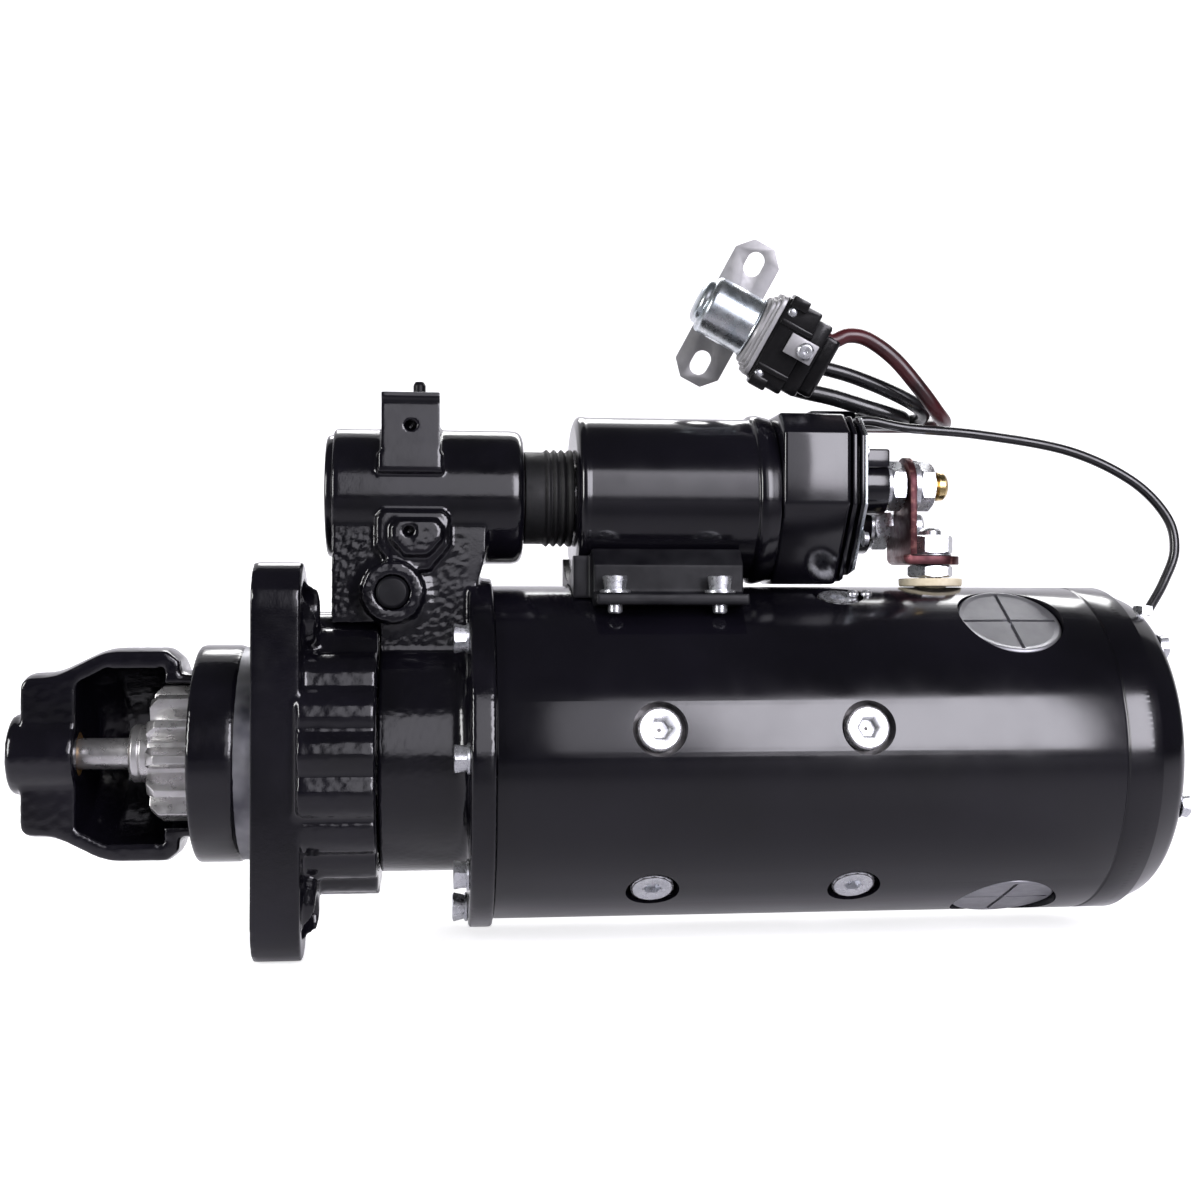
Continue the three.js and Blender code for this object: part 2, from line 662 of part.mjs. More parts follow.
// The grooved sleeve that the fork's two shoes ride in.
function shiftCollar() {
  const inner = HUB_R + RUNNING;
  const groove = [YOKE_X - YOKE_GROOVE / 2, YOKE_X + YOKE_GROOVE / 2];
  const collar = turned([
    [groove[0] - 4, inner], [groove[0] - 4, 27], [groove[0], 27], [groove[0], 21],
    [groove[1], 21], [groove[1], 27], [groove[1] + 3.5, 27], [groove[1] + 3.5, inner], [groove[0] - 4, inner],
  ]);
  return piece("shift_collar", collar, IRON);
}

// ---------------------------------------------------------------- shift fork

const SHOE_R = 3.9;
const CROSS_PIN_R = 3;

// Drawn upright about its pivot, then leaned back to its rest angle.
function shiftFork() {
  const arch = cut(
    sleeveX(37, 30, -4, 4, { z: -FORK_FOOT }),
    block([-6, 6], [-40, 40], [-FORK_FOOT - 40, -FORK_FOOT - 4]),
  );
  const shoes = [-1, 1].map((side) => {
    const [y0, y1] = side < 0 ? [-32, -21.8] : [21.8, 32];
    return rodY(SHOE_R, y0, y1, { z: -FORK_FOOT });
  });
  const arm = block([-3.5, 3.5], [-10, 10], [-FORK_FOOT + 33, 5]);
  const hub = rodY(9, -13, 13);
  const tip = block([-3.5, 3.5], [-4.5, 4.5], [4, FORK_TOP + 5]);
  const crossPin = rodY(CROSS_PIN_R, -11, 11, { z: FORK_TOP });
  const bore = rodY(PIVOT_PIN_R + GAP, -20, 20);
  const fork = new THREE.Group();
  fork.position.set(PIVOT[0], 0, PIVOT[1]);
  fork.rotation.y = -FORK_TILT;
  return fork.add(piece("shift_fork", cut(join(arch, ...shoes, arm, hub, tip, crossPin), bore), IRON));
}

// ---------------------------------------------------------------- solenoid

const PLUNGER_R = 15;
const PLUNGER_X = [112, 166];
const CORE_X = [186, 211];
const COIL_X = [137, 207];
const CONTACT_X = 236;

// The solenoid's pieces are drawn about their own axis.
function onSolenoidAxis(...meshes) {
  const group = new THREE.Group();
  group.position.z = SOLENOID_Z;
  return group.add(...meshes);
}

function solenoidCase() {
  const shell = turned([
    [CASE_X[0], PLUNGER_R + 1.2], [CASE_X[0], CASE_R - 4], [CASE_X[0] + 3, CASE_R], [CASE_X[1] - 9, CASE_R],
    [CASE_X[1] - 7, CASE_R + 1.4], [CASE_X[1], CASE_R + 1.4], [CASE_X[1], CASE_R - 3],
    [CASE_X[0] + 4, CASE_R - 3], [CASE_X[0] + 4, PLUNGER_R + 1.2], [CASE_X[0], PLUNGER_R + 1.2],
  ]);
  return piece("solenoid_case", shell, BLACK_PAINT);
}

function solenoidCoil() {
  return piece("solenoid_coil", sleeveX(CASE_R - 3.5, PLUNGER_R + 1.2, ...COIL_X), COPPER);
}

function solenoidCore() {
  const core = turned([
    [CORE_X[0], 4.5], [CORE_X[0], PLUNGER_R], [COIL_X[1] + GAP, PLUNGER_R], [COIL_X[1] + GAP, CASE_R - 3.5],
    [CORE_X[1] + 2, CASE_R - 3.5], [CORE_X[1] + 2, 4.5], [CORE_X[0], 4.5],
  ]);
  return piece("solenoid_core", core, IRON);
}

function plunger() {
  const body = turned([
    [62, 0], [62, 6], [PLUNGER_X[0] - 4, 6], [PLUNGER_X[0], PLUNGER_R], [PLUNGER_X[1], PLUNGER_R], [PLUNGER_X[1], 0],
  ]);
  const clevis = block([CLEVIS_X - 8, 64], [-9, 9], [-9, 9]);
  const forkGap = block([CLEVIS_X - 10, 59], [-5, 5], [-12, 12]);
  const pinHole = rodY(CROSS_PIN_R + 1, -12, 12, { x: CLEVIS_X });
  return piece("plunger", cut(join(body, clevis), forkGap, pinHole), STEEL);
}

function returnSpring() {
  return piece("return_spring", spring(11, 1.2, PLUNGER_X[1] + 0.4, CORE_X[0] - 0.4, 4), STEEL);
}

function contactDisc() {
  const disc = turned([
    [PLUNGER_X[1] + 12, 0], [PLUNGER_X[1] + 12, 3.5], [CONTACT_X - 2, 3.5], [CONTACT_X - 2, 24],
    [CONTACT_X + 1, 24], [CONTACT_X + 1, 0],
  ]);
  return piece("contact_disc", disc, COPPER);
}

const STUD_R = 6.35;
const LEAD_BLOCK_END = 262;
const MOTOR_STUD = { y: -10, z: 6 };
const BATTERY_STUD = { y: 17, z: -10 };
const BOSS_X = [253, 267.5];
const END_PLATE_X = [251.7, 254];

// The moulded cap: an octagonal cup, two thin octagonal plates behind it, a boss round each terminal
// stud, and the block at the top that the relay's leads run to.
function solenoidCap() {
  const cup = prismX(regularPolygon(8, 2 * CAP_HALF), ...CAP_X);
  const core = prismX(regularPolygon(8, 60), CAP_X[1] - 1, END_PLATE_X[1]);
  const innerPlate = prismX(regularPolygon(8, 72), 247.3, 249.3);
  const endPlate = prismX(regularPolygon(8, 71), ...END_PLATE_X);
  const bosses = [MOTOR_STUD, BATTERY_STUD].map(({ y, z }) => rodX(13, ...BOSS_X, { y, z }));
  const leadBlock = block([241, LEAD_BLOCK_END], [13, 38], [20, 42]);
  const hollow = rodX(30, CAP_X[0] - 1, CAP_X[1] - GAP);
  const holes = [MOTOR_STUD, BATTERY_STUD].map(({ y, z }) => rodX(STUD_R + GAP, 240, 270, { y, z }));
  const chamfer = prismY(polygon([[243, -40], [262, -40], [262, -24]]), -50, 50);
  const moulding = join(cup, core, innerPlate, endPlate, ...bosses, leadBlock);
  return piece("solenoid_cap", cut(moulding, hollow, ...holes, chamfer), BLACK_PAINT);
}

const STRAP_X = [276.6, 279.4];

function motorStud() {
  const { y, z } = MOTOR_STUD;
  const stud = rodX(STUD_R, 243.5, 296, { y, z });
  const head = rodX(9.5, 241, 245.5, { y, z });
  const jamNut = moved(prismX(regularPolygon(6, 19), BOSS_X[1] + GAP, STRAP_X[0] - GAP), 0, y, z);
  return piece("motor_stud", join(stud, head, jamNut), ZINC);
}

function motorNut() {
  const { y, z } = MOTOR_STUD;
  const nut = moved(prismX(regularPolygon(6, 19), STRAP_X[1] + 3 + GAP, 291.5), 0, y, z);
  const washer = rodX(11.5, STRAP_X[1] + GAP, STRAP_X[1] + 3 + GAP + 0.2, { y, z });
  const thread = rodX(STUD_R + GAP, 270, 300, { y, z });
  return piece("motor_nut", cut(join(nut, washer), thread), ZINC);
}

function batteryStud() {
  const { y, z } = BATTERY_STUD;
  const stud = rodX(STUD_R, 243.5, 294, { y, z });
  const head = rodX(9.5, 241, 245.5, { y, z });
  const nut = moved(prismX(regularPolygon(6, 19), BOSS_X[1] + GAP, 278), 0, y, z);
  return piece("battery_stud", join(stud, head, nut), ZINC);
}

// ---------------------------------------------------------------- boot, saddle and its bolts

function rubberBoot() {
  const [front, back] = [110, 131];
  const folds = [0, 1, 2].flatMap((fold) => [[120 + 3.2 * fold, 21.4], [121.6 + 3.2 * fold, 19.7]]);
  const outside = [[front, 20], [118.5, 20], ...folds, [129.5, 21], [back, 21]];
  return piece("rubber_boot", turned([[front, 18], ...outside, [back, 18], [front, 18]]), RUBBER);
}

const SADDLE_X = [137, 200.5];
const SADDLE_Y = 50;
const FOOT_Z = [63.5, 68];
const SADDLE_BOLT_X = [145.5, 189];
const SADDLE_BOLT_Y = -43.5;

// The saddle between the solenoid and the frame, with a bolted foot at the front.
function saddle() {
  const web = prismX(polygon([
    [-36, 50], [-36, 80], [-30, 87], [30, 87], [36, 80], [36, 50],
  ]), ...SADDLE_X);
  const foot = block(SADDLE_X, [-SADDLE_Y, -30], FOOT_Z);
  const frontLeg = block([129.6, SADDLE_X[0] + 1], [-29, 29], [60, 84]);
  const frameSeat = rodX(FRAME_R + 2 * GAP, 120, 210);
  const caseSeat = rodX(CASE_R + GAP, 120, 210, { z: SOLENOID_Z });
  const boltHoles = SADDLE_BOLT_X.map((x) => rodZ(3.3, 50, 80, { x, y: SADDLE_BOLT_Y }));
  const saddleBody = cut(join(web, foot, frontLeg), frameSeat, caseSeat, ...boltHoles);
  return piece("solenoid_saddle", saddleBody, BLACK_PAINT);
}

function saddleBolt(index) {
  const place = { x: SADDLE_BOLT_X[index], y: SADDLE_BOLT_Y };
  const shank = rodZ(3, 60, 70, { ...place });
  const flange = rodZ(6.4, FOOT_Z[1] + GAP, FOOT_Z[1] + 2, place);
  const head = moved(prismZ(regularPolygon(6, 9), FOOT_Z[1] + 1.5, FOOT_Z[1] + 7.5), place.x, place.y, 0);
  return piece(`saddle_bolt_${index + 1}`, join(shank, flange, head), ZINC);
}

// ---------------------------------------------------------------- motor connection

const STRAP_FOOT_Z = [81.6, 85.2];

function fieldStud() {
  const x = FIELD_STUD_X;
  const stud = rodZ(5, 62, 98, { x });
  const clampNut = moved(prismZ(regularPolygon(6, 18), 75.8, STRAP_FOOT_Z[0] - GAP), x, 0, 0);
  const base = rodZ(10, 60, FRAME_INNER_R - 1, { x });
  return piece("field_stud", join(stud, clampNut, base), ZINC);
}

function fieldNut() {
  const x = FIELD_STUD_X;
  const nut = moved(prismZ(regularPolygon(6, 18), STRAP_FOOT_Z[1] + GAP, 94.6), x, 0, 0);
  return piece("field_nut", cut(nut, rodZ(5 + GAP, 80, 100, { x })), ZINC);
}

function fieldInsulator() {
  const x = FIELD_STUD_X;
  const collar = rodZ(14, FRAME_R + GAP, 75.5, { x });
  const sleeve = rodZ(7, FRAME_INNER_R - 0.5, FRAME_R + 1, { x });
  return piece("field_insulator", cut(join(collar, sleeve), rodZ(5 + GAP, 60, 80, { x })), CREAM);
}

// The copper strap from the solenoid's motor stud down to the field stud.
function connectorStrap() {
  const { y, z } = MOTOR_STUD;
  const studZ = SOLENOID_Z + z;
  const halfWidth = 12.5;
  const leg = join(
    block(STRAP_X, [y - halfWidth, y + halfWidth], [STRAP_FOOT_Z[0], studZ]),
    rodX(halfWidth, ...STRAP_X, { y, z: studZ }),
  );
  const foot = join(
    block([STRAP_X[0], FIELD_STUD_X], [-halfWidth, halfWidth], STRAP_FOOT_Z),
    rodZ(halfWidth, ...STRAP_FOOT_Z, { x: FIELD_STUD_X }),
  );
  const holes = [
    rodX(STUD_R + GAP, 270, 285, { y, z: studZ }),
    rodZ(5 + GAP, 78, 90, { x: FIELD_STUD_X }),
  ];
  return piece("connector_strap", cut(join(leg, foot), ...holes), RED_COPPER);
}

// ---------------------------------------------------------------- relay

const RELAY_CENTRE = [201, 0, 191.5];
const RELAY_TILT = THREE.MathUtils.degToRad(27.5);
const RELAY_ROLL = THREE.MathUtils.degToRad(15);
const CAN_R = 13.2;
const CAN_HALF = 11.7;
const RELAY_BASE_X = [CAN_HALF + 3, CAN_HALF + 24];

// The relay is drawn along its own X axis, with its can at the origin, then rolled about that axis and
// tipped forward.
function relay() {
  const group = new THREE.Group();
  group.position.set(...RELAY_CENTRE);
  group.rotation.set(RELAY_ROLL, RELAY_TILT, 0, "YXZ");
  return group.add(relayCan(), relayBracket(), relayBase(), relayPlunger());
}

function relayCan() {
  const dome = -CAN_HALF - 4.3;
  const can = turned([
    [dome, 0], [dome, 9], [dome + 1, 10], [-CAN_HALF, 10.4],
    [-CAN_HALF, CAN_R - 2], [-CAN_HALF + 2, CAN_R], [CAN_HALF, CAN_R],
    [CAN_HALF, CAN_R - 1.2], [-CAN_HALF + 2, CAN_R - 1.2], [-CAN_HALF + 2, 0],
  ]);
  return piece("relay_can", can, BLUE_ZINC);
}

function relayBracket() {
  const plate = prismY(polygon([
    [-11, -28], [-5, -34.5], [5, -34.5], [11, -28], [11, 28], [5, 34.5], [-5, 34.5], [-11, 28],
  ]), CAN_R + GAP, CAN_R + 2.5);
  const slots = [-24.7, 24.7].map((z) => rodY(4.6, 10, 20, { z }));
  return piece("relay_bracket", cut(plate, ...slots), BLUE_ZINC);
}

function relayBase() {
  const flangeHalf = 21;
  const flange = block([CAN_HALF + GAP, RELAY_BASE_X[0]], [-flangeHalf, 12.8], [-flangeHalf, flangeHalf]);
  const base = block([RELAY_BASE_X[0] - 0.2, RELAY_BASE_X[1]], [-19, 12.8], [-20, 20]);
  const hollow = rodX(9, CAN_HALF - 1, RELAY_BASE_X[1] - 4);
  const clamp = block([22, 31], [-23, -18], [-6, 3]);
  const cableBoot = block([RELAY_BASE_X[1] - 1, RELAY_BASE_X[1] + 6], [-12, 12], [-16, 15]);
  return piece("relay_base", cut(join(flange, base, clamp, cableBoot), hollow), BAKELITE);
}

function relayPlunger() {
  const slug = rodX(7, -CAN_HALF + 4, CAN_HALF + 2);
  const bridge = rodX(8.3, CAN_HALF + 1, CAN_HALF + 4);
  return piece("relay_plunger", join(slug, bridge), IRON);
}

// ---------------------------------------------------------------- leads

// The relay's three leads loop out and turn back, side by side, to the block on the solenoid's cap.
function leads() {
  const end = LEAD_BLOCK_END + GAP;
  const red = [
    [244.5, -11, 180.7], [254, -11, 181.8], [264, -11, 180], [275, -11, 171.5], [286, -10, 158.5],
    [296, -6, 149], [302, 3, 146], [304, 14, 146], [299, 26, 147], [286, 33, 147.5], [end, 33.2, 147.5],
  ];
  const thin = [
    [240.5, 2, 170.3], [256, 3, 166.5], [272, 4, 161], [286, 6, 155], [293, 11.5, 151.5],
    [293, 19, 149], [284, 24.6, 147.8], [end, 25, 147.5],
  ];
  const thick = [
    [234, 7.5, 160.4], [250, 7.5, 157], [264, 7.5, 153], [276, 8.2, 149.8],
    [283.5, 12.8, 148], [276, 17.2, 147.6], [end, 17.2, 147.5],
  ];
  const ground = [
    [264.5, -14, 140.4], [290, -14, 140.2], [322, -14, 138.5], [352, -15, 131.5], [378, -18, 119],
    [394, -20, 103], [397, -22, 88], [391.5, -22, 74], [386, -21, 63.5], [383.5, -21, 60],
  ];
  return [
    piece("red_lead", cord(red, 4.4, 32), RED_CABLE),
    piece("thin_lead", cord(thin, 3.1, 24), BLACK_CABLE),
    piece("thick_lead", cord(thick, 3.8, 24), BLACK_CABLE),
    piece("ground_lead", cord(ground, 2.1, 36), BLACK_CABLE),
  ];
}

// ---------------------------------------------------------------- the assembly

const indices = (count) => Array.from({ length: count }, (_, i) => i);

const engineSide = new THREE.Group();
engineSide.add(driveHousing(), noseBushing(), forkHousing(), barrelPlug(), centreBushing(), forkPivotPin());

const motor = new THREE.Group();
motor.add(frame(), fieldCoils(), ...indices(POLES).map(poleShoe), ...indices(3).map(inspectionPlug));
motor.add(rearCover(), rearBushing(), brushHolder(), ...indices(4).map(brush));

const armature = new THREE.Group();
armature.add(armatureShaft(), armatureCore(), armatureWinding(), commutator());

const drive = new THREE.Group();
drive.add(clutchShell(), meshingSpring(), shiftCollar(), pinion(), pinionRing(), shiftFork());

const solenoid = onSolenoidAxis(solenoidCase(), solenoidCoil(), solenoidCore(), plunger(), returnSpring());
solenoid.add(contactDisc(), solenoidCap(), motorStud(), motorNut(), batteryStud(), rubberBoot());

const fittings = new THREE.Group();
fittings.add(saddle(), saddleBolt(0), saddleBolt(1), connectorStrap(), fieldStud(), fieldNut(), fieldInsulator());
fittings.add(relay(), ...leads());

const starter = new THREE.Group();
starter.position.y = -FLANGE_TO_SHAFT;
starter.add(engineSide, motor, armature, drive, solenoid, fittings);

const root = new THREE.Group();
root.add(starter);

export default root;
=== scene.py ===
# A heavy-duty starter motor on a pale studio sweep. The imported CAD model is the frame: it gives every place
# and main size. This script rebuilds each visible part with finished surfaces, and gives the hidden parts
# procedural materials.
import json
import math

import bmesh
import bpy
from mathutils import Euler, Matrix, Vector, noise

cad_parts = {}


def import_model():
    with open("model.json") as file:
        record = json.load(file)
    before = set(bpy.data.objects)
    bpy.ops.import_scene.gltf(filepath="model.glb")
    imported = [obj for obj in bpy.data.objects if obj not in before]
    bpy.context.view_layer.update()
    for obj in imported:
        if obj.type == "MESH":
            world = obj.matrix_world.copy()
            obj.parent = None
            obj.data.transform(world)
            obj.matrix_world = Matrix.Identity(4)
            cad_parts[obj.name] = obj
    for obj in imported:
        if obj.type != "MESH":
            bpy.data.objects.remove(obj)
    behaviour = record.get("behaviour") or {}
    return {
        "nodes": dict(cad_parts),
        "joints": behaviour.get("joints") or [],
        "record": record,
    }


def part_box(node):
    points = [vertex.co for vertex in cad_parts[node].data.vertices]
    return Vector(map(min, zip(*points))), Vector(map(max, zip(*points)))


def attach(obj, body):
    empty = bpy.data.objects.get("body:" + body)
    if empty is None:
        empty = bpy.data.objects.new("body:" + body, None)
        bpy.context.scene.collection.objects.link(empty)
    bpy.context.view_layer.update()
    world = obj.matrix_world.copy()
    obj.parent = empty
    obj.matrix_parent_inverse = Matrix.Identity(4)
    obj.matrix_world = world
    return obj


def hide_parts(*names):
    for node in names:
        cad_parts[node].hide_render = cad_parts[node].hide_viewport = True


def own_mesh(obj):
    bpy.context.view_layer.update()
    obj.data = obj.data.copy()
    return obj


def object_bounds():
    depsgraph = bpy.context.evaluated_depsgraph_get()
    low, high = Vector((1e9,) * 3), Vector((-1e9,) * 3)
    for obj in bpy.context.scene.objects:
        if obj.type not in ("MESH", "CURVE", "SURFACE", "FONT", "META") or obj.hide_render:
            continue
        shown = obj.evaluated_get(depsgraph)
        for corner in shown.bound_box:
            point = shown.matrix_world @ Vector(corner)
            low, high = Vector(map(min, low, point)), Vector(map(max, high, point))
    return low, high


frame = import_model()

CAD_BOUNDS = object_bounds()
MM = 0.001
TURN = 2 * math.pi

# ---- places, in mm about the shaft's axis

shaft_low, shaft_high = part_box("armature_shaft")
AXIS = Vector((0, (shaft_low.y + shaft_high.y) / 2, (shaft_low.z + shaft_high.z) / 2))


def box_of(node):
    """A node's lowest and highest corners at rest."""
    return [(corner - AXIS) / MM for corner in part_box(node)]


def low_of(node):
    return box_of(node)[0]


def high_of(node):
    return box_of(node)[1]


def named(rows, name):
    return next(row for row in rows if row["name"] == name)


def centre_of(node):
    return (low_of(node) + high_of(node)) / 2


NOSE_TIP = low_of("drive_housing").x
FLANGE_END = 19.5
DRUM_END = high_of("drive_housing").x
DRUM_R = 60.5
BOLT_CIRCLE_R = 73
LOBE_R = high_of("drive_housing").z - BOLT_CIRCLE_R * math.sin(math.radians(60))
PILOT_R = 46.04

FORK_BODY = (low_of("centre_bushing").x - 30.6, low_of("centre_bushing").x + 6.5)
RIM_R = high_of("fork_housing").y
RIM = (FORK_BODY[1] - 0.3, FORK_BODY[1] + 9.7)
PIVOT = centre_of("fork_pivot_pin")
PLUG_LOW, PLUG_HIGH = box_of("barrel_plug")
BARREL_R = (PLUG_HIGH.z - PLUG_LOW.z) / 2 + 2.6

FRAME_LOW, FRAME_HIGH = box_of("field_frame")
FRAME_R = FRAME_HIGH.y
COVER_LOW, COVER_HIGH = box_of("rear_cover")

SOLENOID_Z = centre_of("barrel_plug").z
CASE_LOW, CASE_HIGH = box_of("solenoid_case")
CAP_LOW, CAP_HIGH = box_of("solenoid_cap")

# ---- outlines


def arc(cx, cy, r, start, end, steps):
    """Points along an arc between two angles in radians, both ends included."""
    angles = [start + (end - start) * i / steps for i in range(steps + 1)]
    return [(cx + r * math.cos(a), cy + r * math.sin(a)) for a in angles]


def circle(cx, cy, r, steps):
    return arc(cx, cy, r, 0, TURN * (1 - 1 / steps), steps - 1)


def rectangle(x0, x1, y0, y1):
    return [(x0, y0), (x1, y0), (x1, y1), (x0, y1)]


def eased(points, radius, closed=False, steps=4):
    """The outline with each corner eased by a curve. A corner's third number is its own radius."""
    result = []
    for i, corner in enumerate(points):
        here = Vector(corner[:2])
        if not closed and i in (0, len(points) - 1):
            result.append(tuple(here))
            continue
        before = Vector(points[i - 1][:2]) - here
        after = Vector(points[(i + 1) % len(points)][:2]) - here
        reach = corner[2] if len(corner) > 2 else radius
        reach = min(reach, before.length * 0.48, after.length * 0.48)
        start = here + before.normalized() * reach
        end = here + after.normalized() * reach
        for k in range(steps + 1):
            t = k / steps
            result.append(tuple((1 - t) ** 2 * start + 2 * t * (1 - t) * here + t * t * end))
    return result


# ---- solids, as bmeshes in millimetres


def lathe(profile, segments, y=0.0, z=0.0, closed=False):
    """A surface about an axis along X. A profile point is (x, radius), or a function of the angle."""
    bm = bmesh.new()
    rings = []
    for point in profile:
        ring = []
        for i in range(segments):
            angle = TURN * i / segments
            x, r = point(angle) if callable(point) else point
            if r < 1e-4:
                ring = [bm.verts.new((x, y, z))]
                break
            ring.append(bm.verts.new((x, y + r * math.cos(angle), z + r * math.sin(angle))))
        rings.append(ring)
    following = rings[1:] + (rings[:1] if closed else [])
    for left, right in zip(rings, following):
        for i in range(segments):
            j = (i + 1) % segments
            ends = [left[i % len(left)], left[j % len(left)], right[j % len(right)], right[i % len(right)]]
            corners = list(dict.fromkeys(ends))
            if len(corners) > 2:
                bm.faces.new(corners)
    bmesh.ops.recalc_face_normals(bm, faces=bm.faces)
    return bm


def turned(profile, ease, segments, z=0.0):
    """A solid turned about an axis along X, with its corners eased."""
    return lathe(eased(profile, ease), segments, z=z)


def turned_ring(section, ease, segments, z=0.0):
    """A ring turned about an axis along X, with the corners of its section eased."""
    return lathe(eased(section, ease, closed=True), segments, z=z, closed=True)


def prism(outline, low, high, axis="X"):
    """A prism along an axis. The outline is in the two other axes, in X, Y, Z order."""
    place = {
        "X": lambda u, v, w: (w, u, v),
        "Y": lambda u, v, w: (u, w, v),
        "Z": lambda u, v, w: (u, v, w),
    }[axis]
    bm = bmesh.new()
    bottom = [bm.verts.new(place(u, v, low)) for u, v in outline]
    top = [bm.verts.new(place(u, v, high)) for u, v in outline]
    bm.faces.new(bottom)
    bm.faces.new(top)
    for i in range(len(outline)):
        j = (i + 1) % len(outline)
        bm.faces.new((bottom[i], bottom[j], top[j], top[i]))
    bmesh.ops.recalc_face_normals(bm, faces=bm.faces)
    return bm


def block(low, high):
    return prism(rectangle(low[0], high[0], low[1], high[1]), low[2], high[2], "Z")


def rod(axis, r, low, high, u=0.0, v=0.0, steps=48):
    return prism(circle(u, v, r, steps), low, high, axis)


def softened(bm, width, steps=2, angle=28):
    """The mesh with its sharp edges rounded over."""
    sharp = [
        e for e in bm.edges if len(e.link_faces) == 2 and e.calc_face_angle(0) > math.radians(angle)
    ]
    bmesh.ops.bevel(
        bm, geom=sharp, offset=width, segments=steps, profile=0.5, affect="EDGES", clamp_overlap=True,
    )
    return bm


def smooth_path(points, per_span):
    """A Catmull-Rom curve through the points."""
    padded = [2 * points[0] - points[1]] + points + [2 * points[-1] - points[-2]]
    path = []
    for p0, p1, p2, p3 in zip(padded, padded[1:], padded[2:], padded[3:]):
        for k in range(per_span):
            t = k / per_span
            path.append(0.5 * (
                2 * p1 + (p2 - p0) * t + (2 * p0 - 5 * p1 + 4 * p2 - p3) * t * t
                + (3 * p1 - p0 - 3 * p2 + p3) * t ** 3
            ))
    path.append(points[-1])
    return path


def tube(points, r, sides=24, per_span=10):
    """A round cord along a smooth curve through points, with eased ends."""
    path = smooth_path([Vector(p) for p in points], per_span)
    bm = bmesh.new()
    rings = []
    normal = Vector((0, 1, 0))
    for i, here in enumerate(path):
        along = (path[min(i + 1, len(path) - 1)] - path[max(i - 1, 0)]).normalized()
        normal = (normal - along * normal.dot(along)).normalized()
        side = along.cross(normal)
        ring_r = r * (0.85 if i in (0, len(path) - 1) else 1.0)
        ring = []
        for k in range(sides):
            angle = TURN * k / sides
            ring.append(bm.verts.new(here + ring_r * (normal * math.cos(angle) + side * math.sin(angle))))
        rings.append(ring)
    for left, right in zip(rings, rings[1:]):
        for i in range(sides):
            j = (i + 1) % sides
            bm.faces.new((left[i], left[j], right[j], right[i]))
    bm.faces.new(rings[0])
    bm.faces.new(rings[-1])
    bmesh.ops.recalc_face_normals(bm, faces=bm.faces)
    return bm


def moved(bm, matrix):
    bmesh.ops.transform(bm, matrix=matrix, verts=bm.verts)
    return bm


def shifted(bm, x=0.0, y=0.0, z=0.0):
    return moved(bm, Matrix.Translation((x, y, z)))


def facing(bm, degrees, place):
    """Turns what is drawn along +X about Z, and puts it at a place."""
    return moved(bm, Matrix.Translation(place) @ Matrix.Rotation(math.radians(degrees), 4, "Z"))


def upright(bm):
    """Turns what is drawn along +X so that it points up."""
    return moved(bm, Matrix.Rotation(math.radians(-90), 4, "Y"))


def outwards(bm, degrees_up):
    """Turns what is drawn towards +Z so that it points out from the shaft, degrees up from -Y."""
    return moved(bm, Matrix.Rotation(math.radians(90 - degrees_up), 4, "X"))


def new_mesh(name, bm):
    """The bmesh as a mesh. The bmesh is used up."""
    mesh = bpy.data.meshes.new(name)
    bm.to_mesh(mesh)
    bm.free()
    return mesh


def linked(name, data):
    """An object that is linked into the scene."""
    shown = bpy.data.objects.new(name, data)
    bpy.context.scene.collection.objects.link(shown)
    return shown


def shade_smooth(mesh, sharp):
    """Smooth shading, up to an angle in degrees between two faces."""
    mesh.polygons.foreach_set("use_smooth", [True] * len(mesh.polygons))
    mesh.set_sharp_from_angle(angle=math.radians(sharp))


def together(*parts):
    """Several meshes as one, with their shells left apart."""
    whole = bmesh.new()
    for part in parts:
        loose = new_mesh("loose", part)
        whole.from_mesh(loose)
        bpy.data.meshes.remove(loose)
    return whole


# ---- booleans and castings


def scratch(bm):
    """A helper object that holds a mesh in millimetres."""
    return linked("scratch", new_mesh("scratch", bm))


def discard(helper):
    mesh = helper.data
    bpy.data.objects.remove(helper)
    bpy.data.meshes.remove(mesh)


def evaluated(helper):
    """The helper's mesh with its modifiers applied. The helper is used up."""
    graph = bpy.context.evaluated_depsgraph_get()
    mesh = bpy.data.meshes.new_from_object(helper.evaluated_get(graph), depsgraph=graph)
    discard(helper)
    bm = bmesh.new()
    bm.from_mesh(mesh)
    bpy.data.meshes.remove(mesh)
    return bm


def combine(base, others, operation):
    helper = scratch(base)
    tools = [scratch(other) for other in others]
    for tool in tools:
        step = helper.modifiers.new("combine", "BOOLEAN")
        step.operation = operation
        step.solver = "MANIFOLD"
        step.object = tool
    result = evaluated(helper)
    for tool in tools:
        discard(tool)
    return result


def union(base, *others):
    return combine(base, others, "UNION")


def cut(base, *others):
    return combine(base, others, "DIFFERENCE")


def as_cast(bm, voxel, rounds):
    """Remeshes a solid and smooths it, so that its edges and corners get the fillets of a casting."""
    helper = scratch(bm)
    remesh = helper.modifiers.new("remesh", "REMESH")
    remesh.mode = "VOXEL"
    remesh.voxel_size = voxel
    smooth = helper.modifiers.new("smooth", "SMOOTH")
    smooth.factor = 0.5
    smooth.iterations = rounds
    return evaluated(helper)


def roughened(bm, size, height, chosen):
    """Moves each point along its normal by cloudy noise, scaled by a chosen share at that point."""
    bm.normal_update()
    for v in bm.verts:
        share = chosen(v.co)
        if share > 0:
            v.co += v.normal * height * share * noise.fractal(v.co / size, 0.7, 2.2, 4)
    return bm


# ---- materials


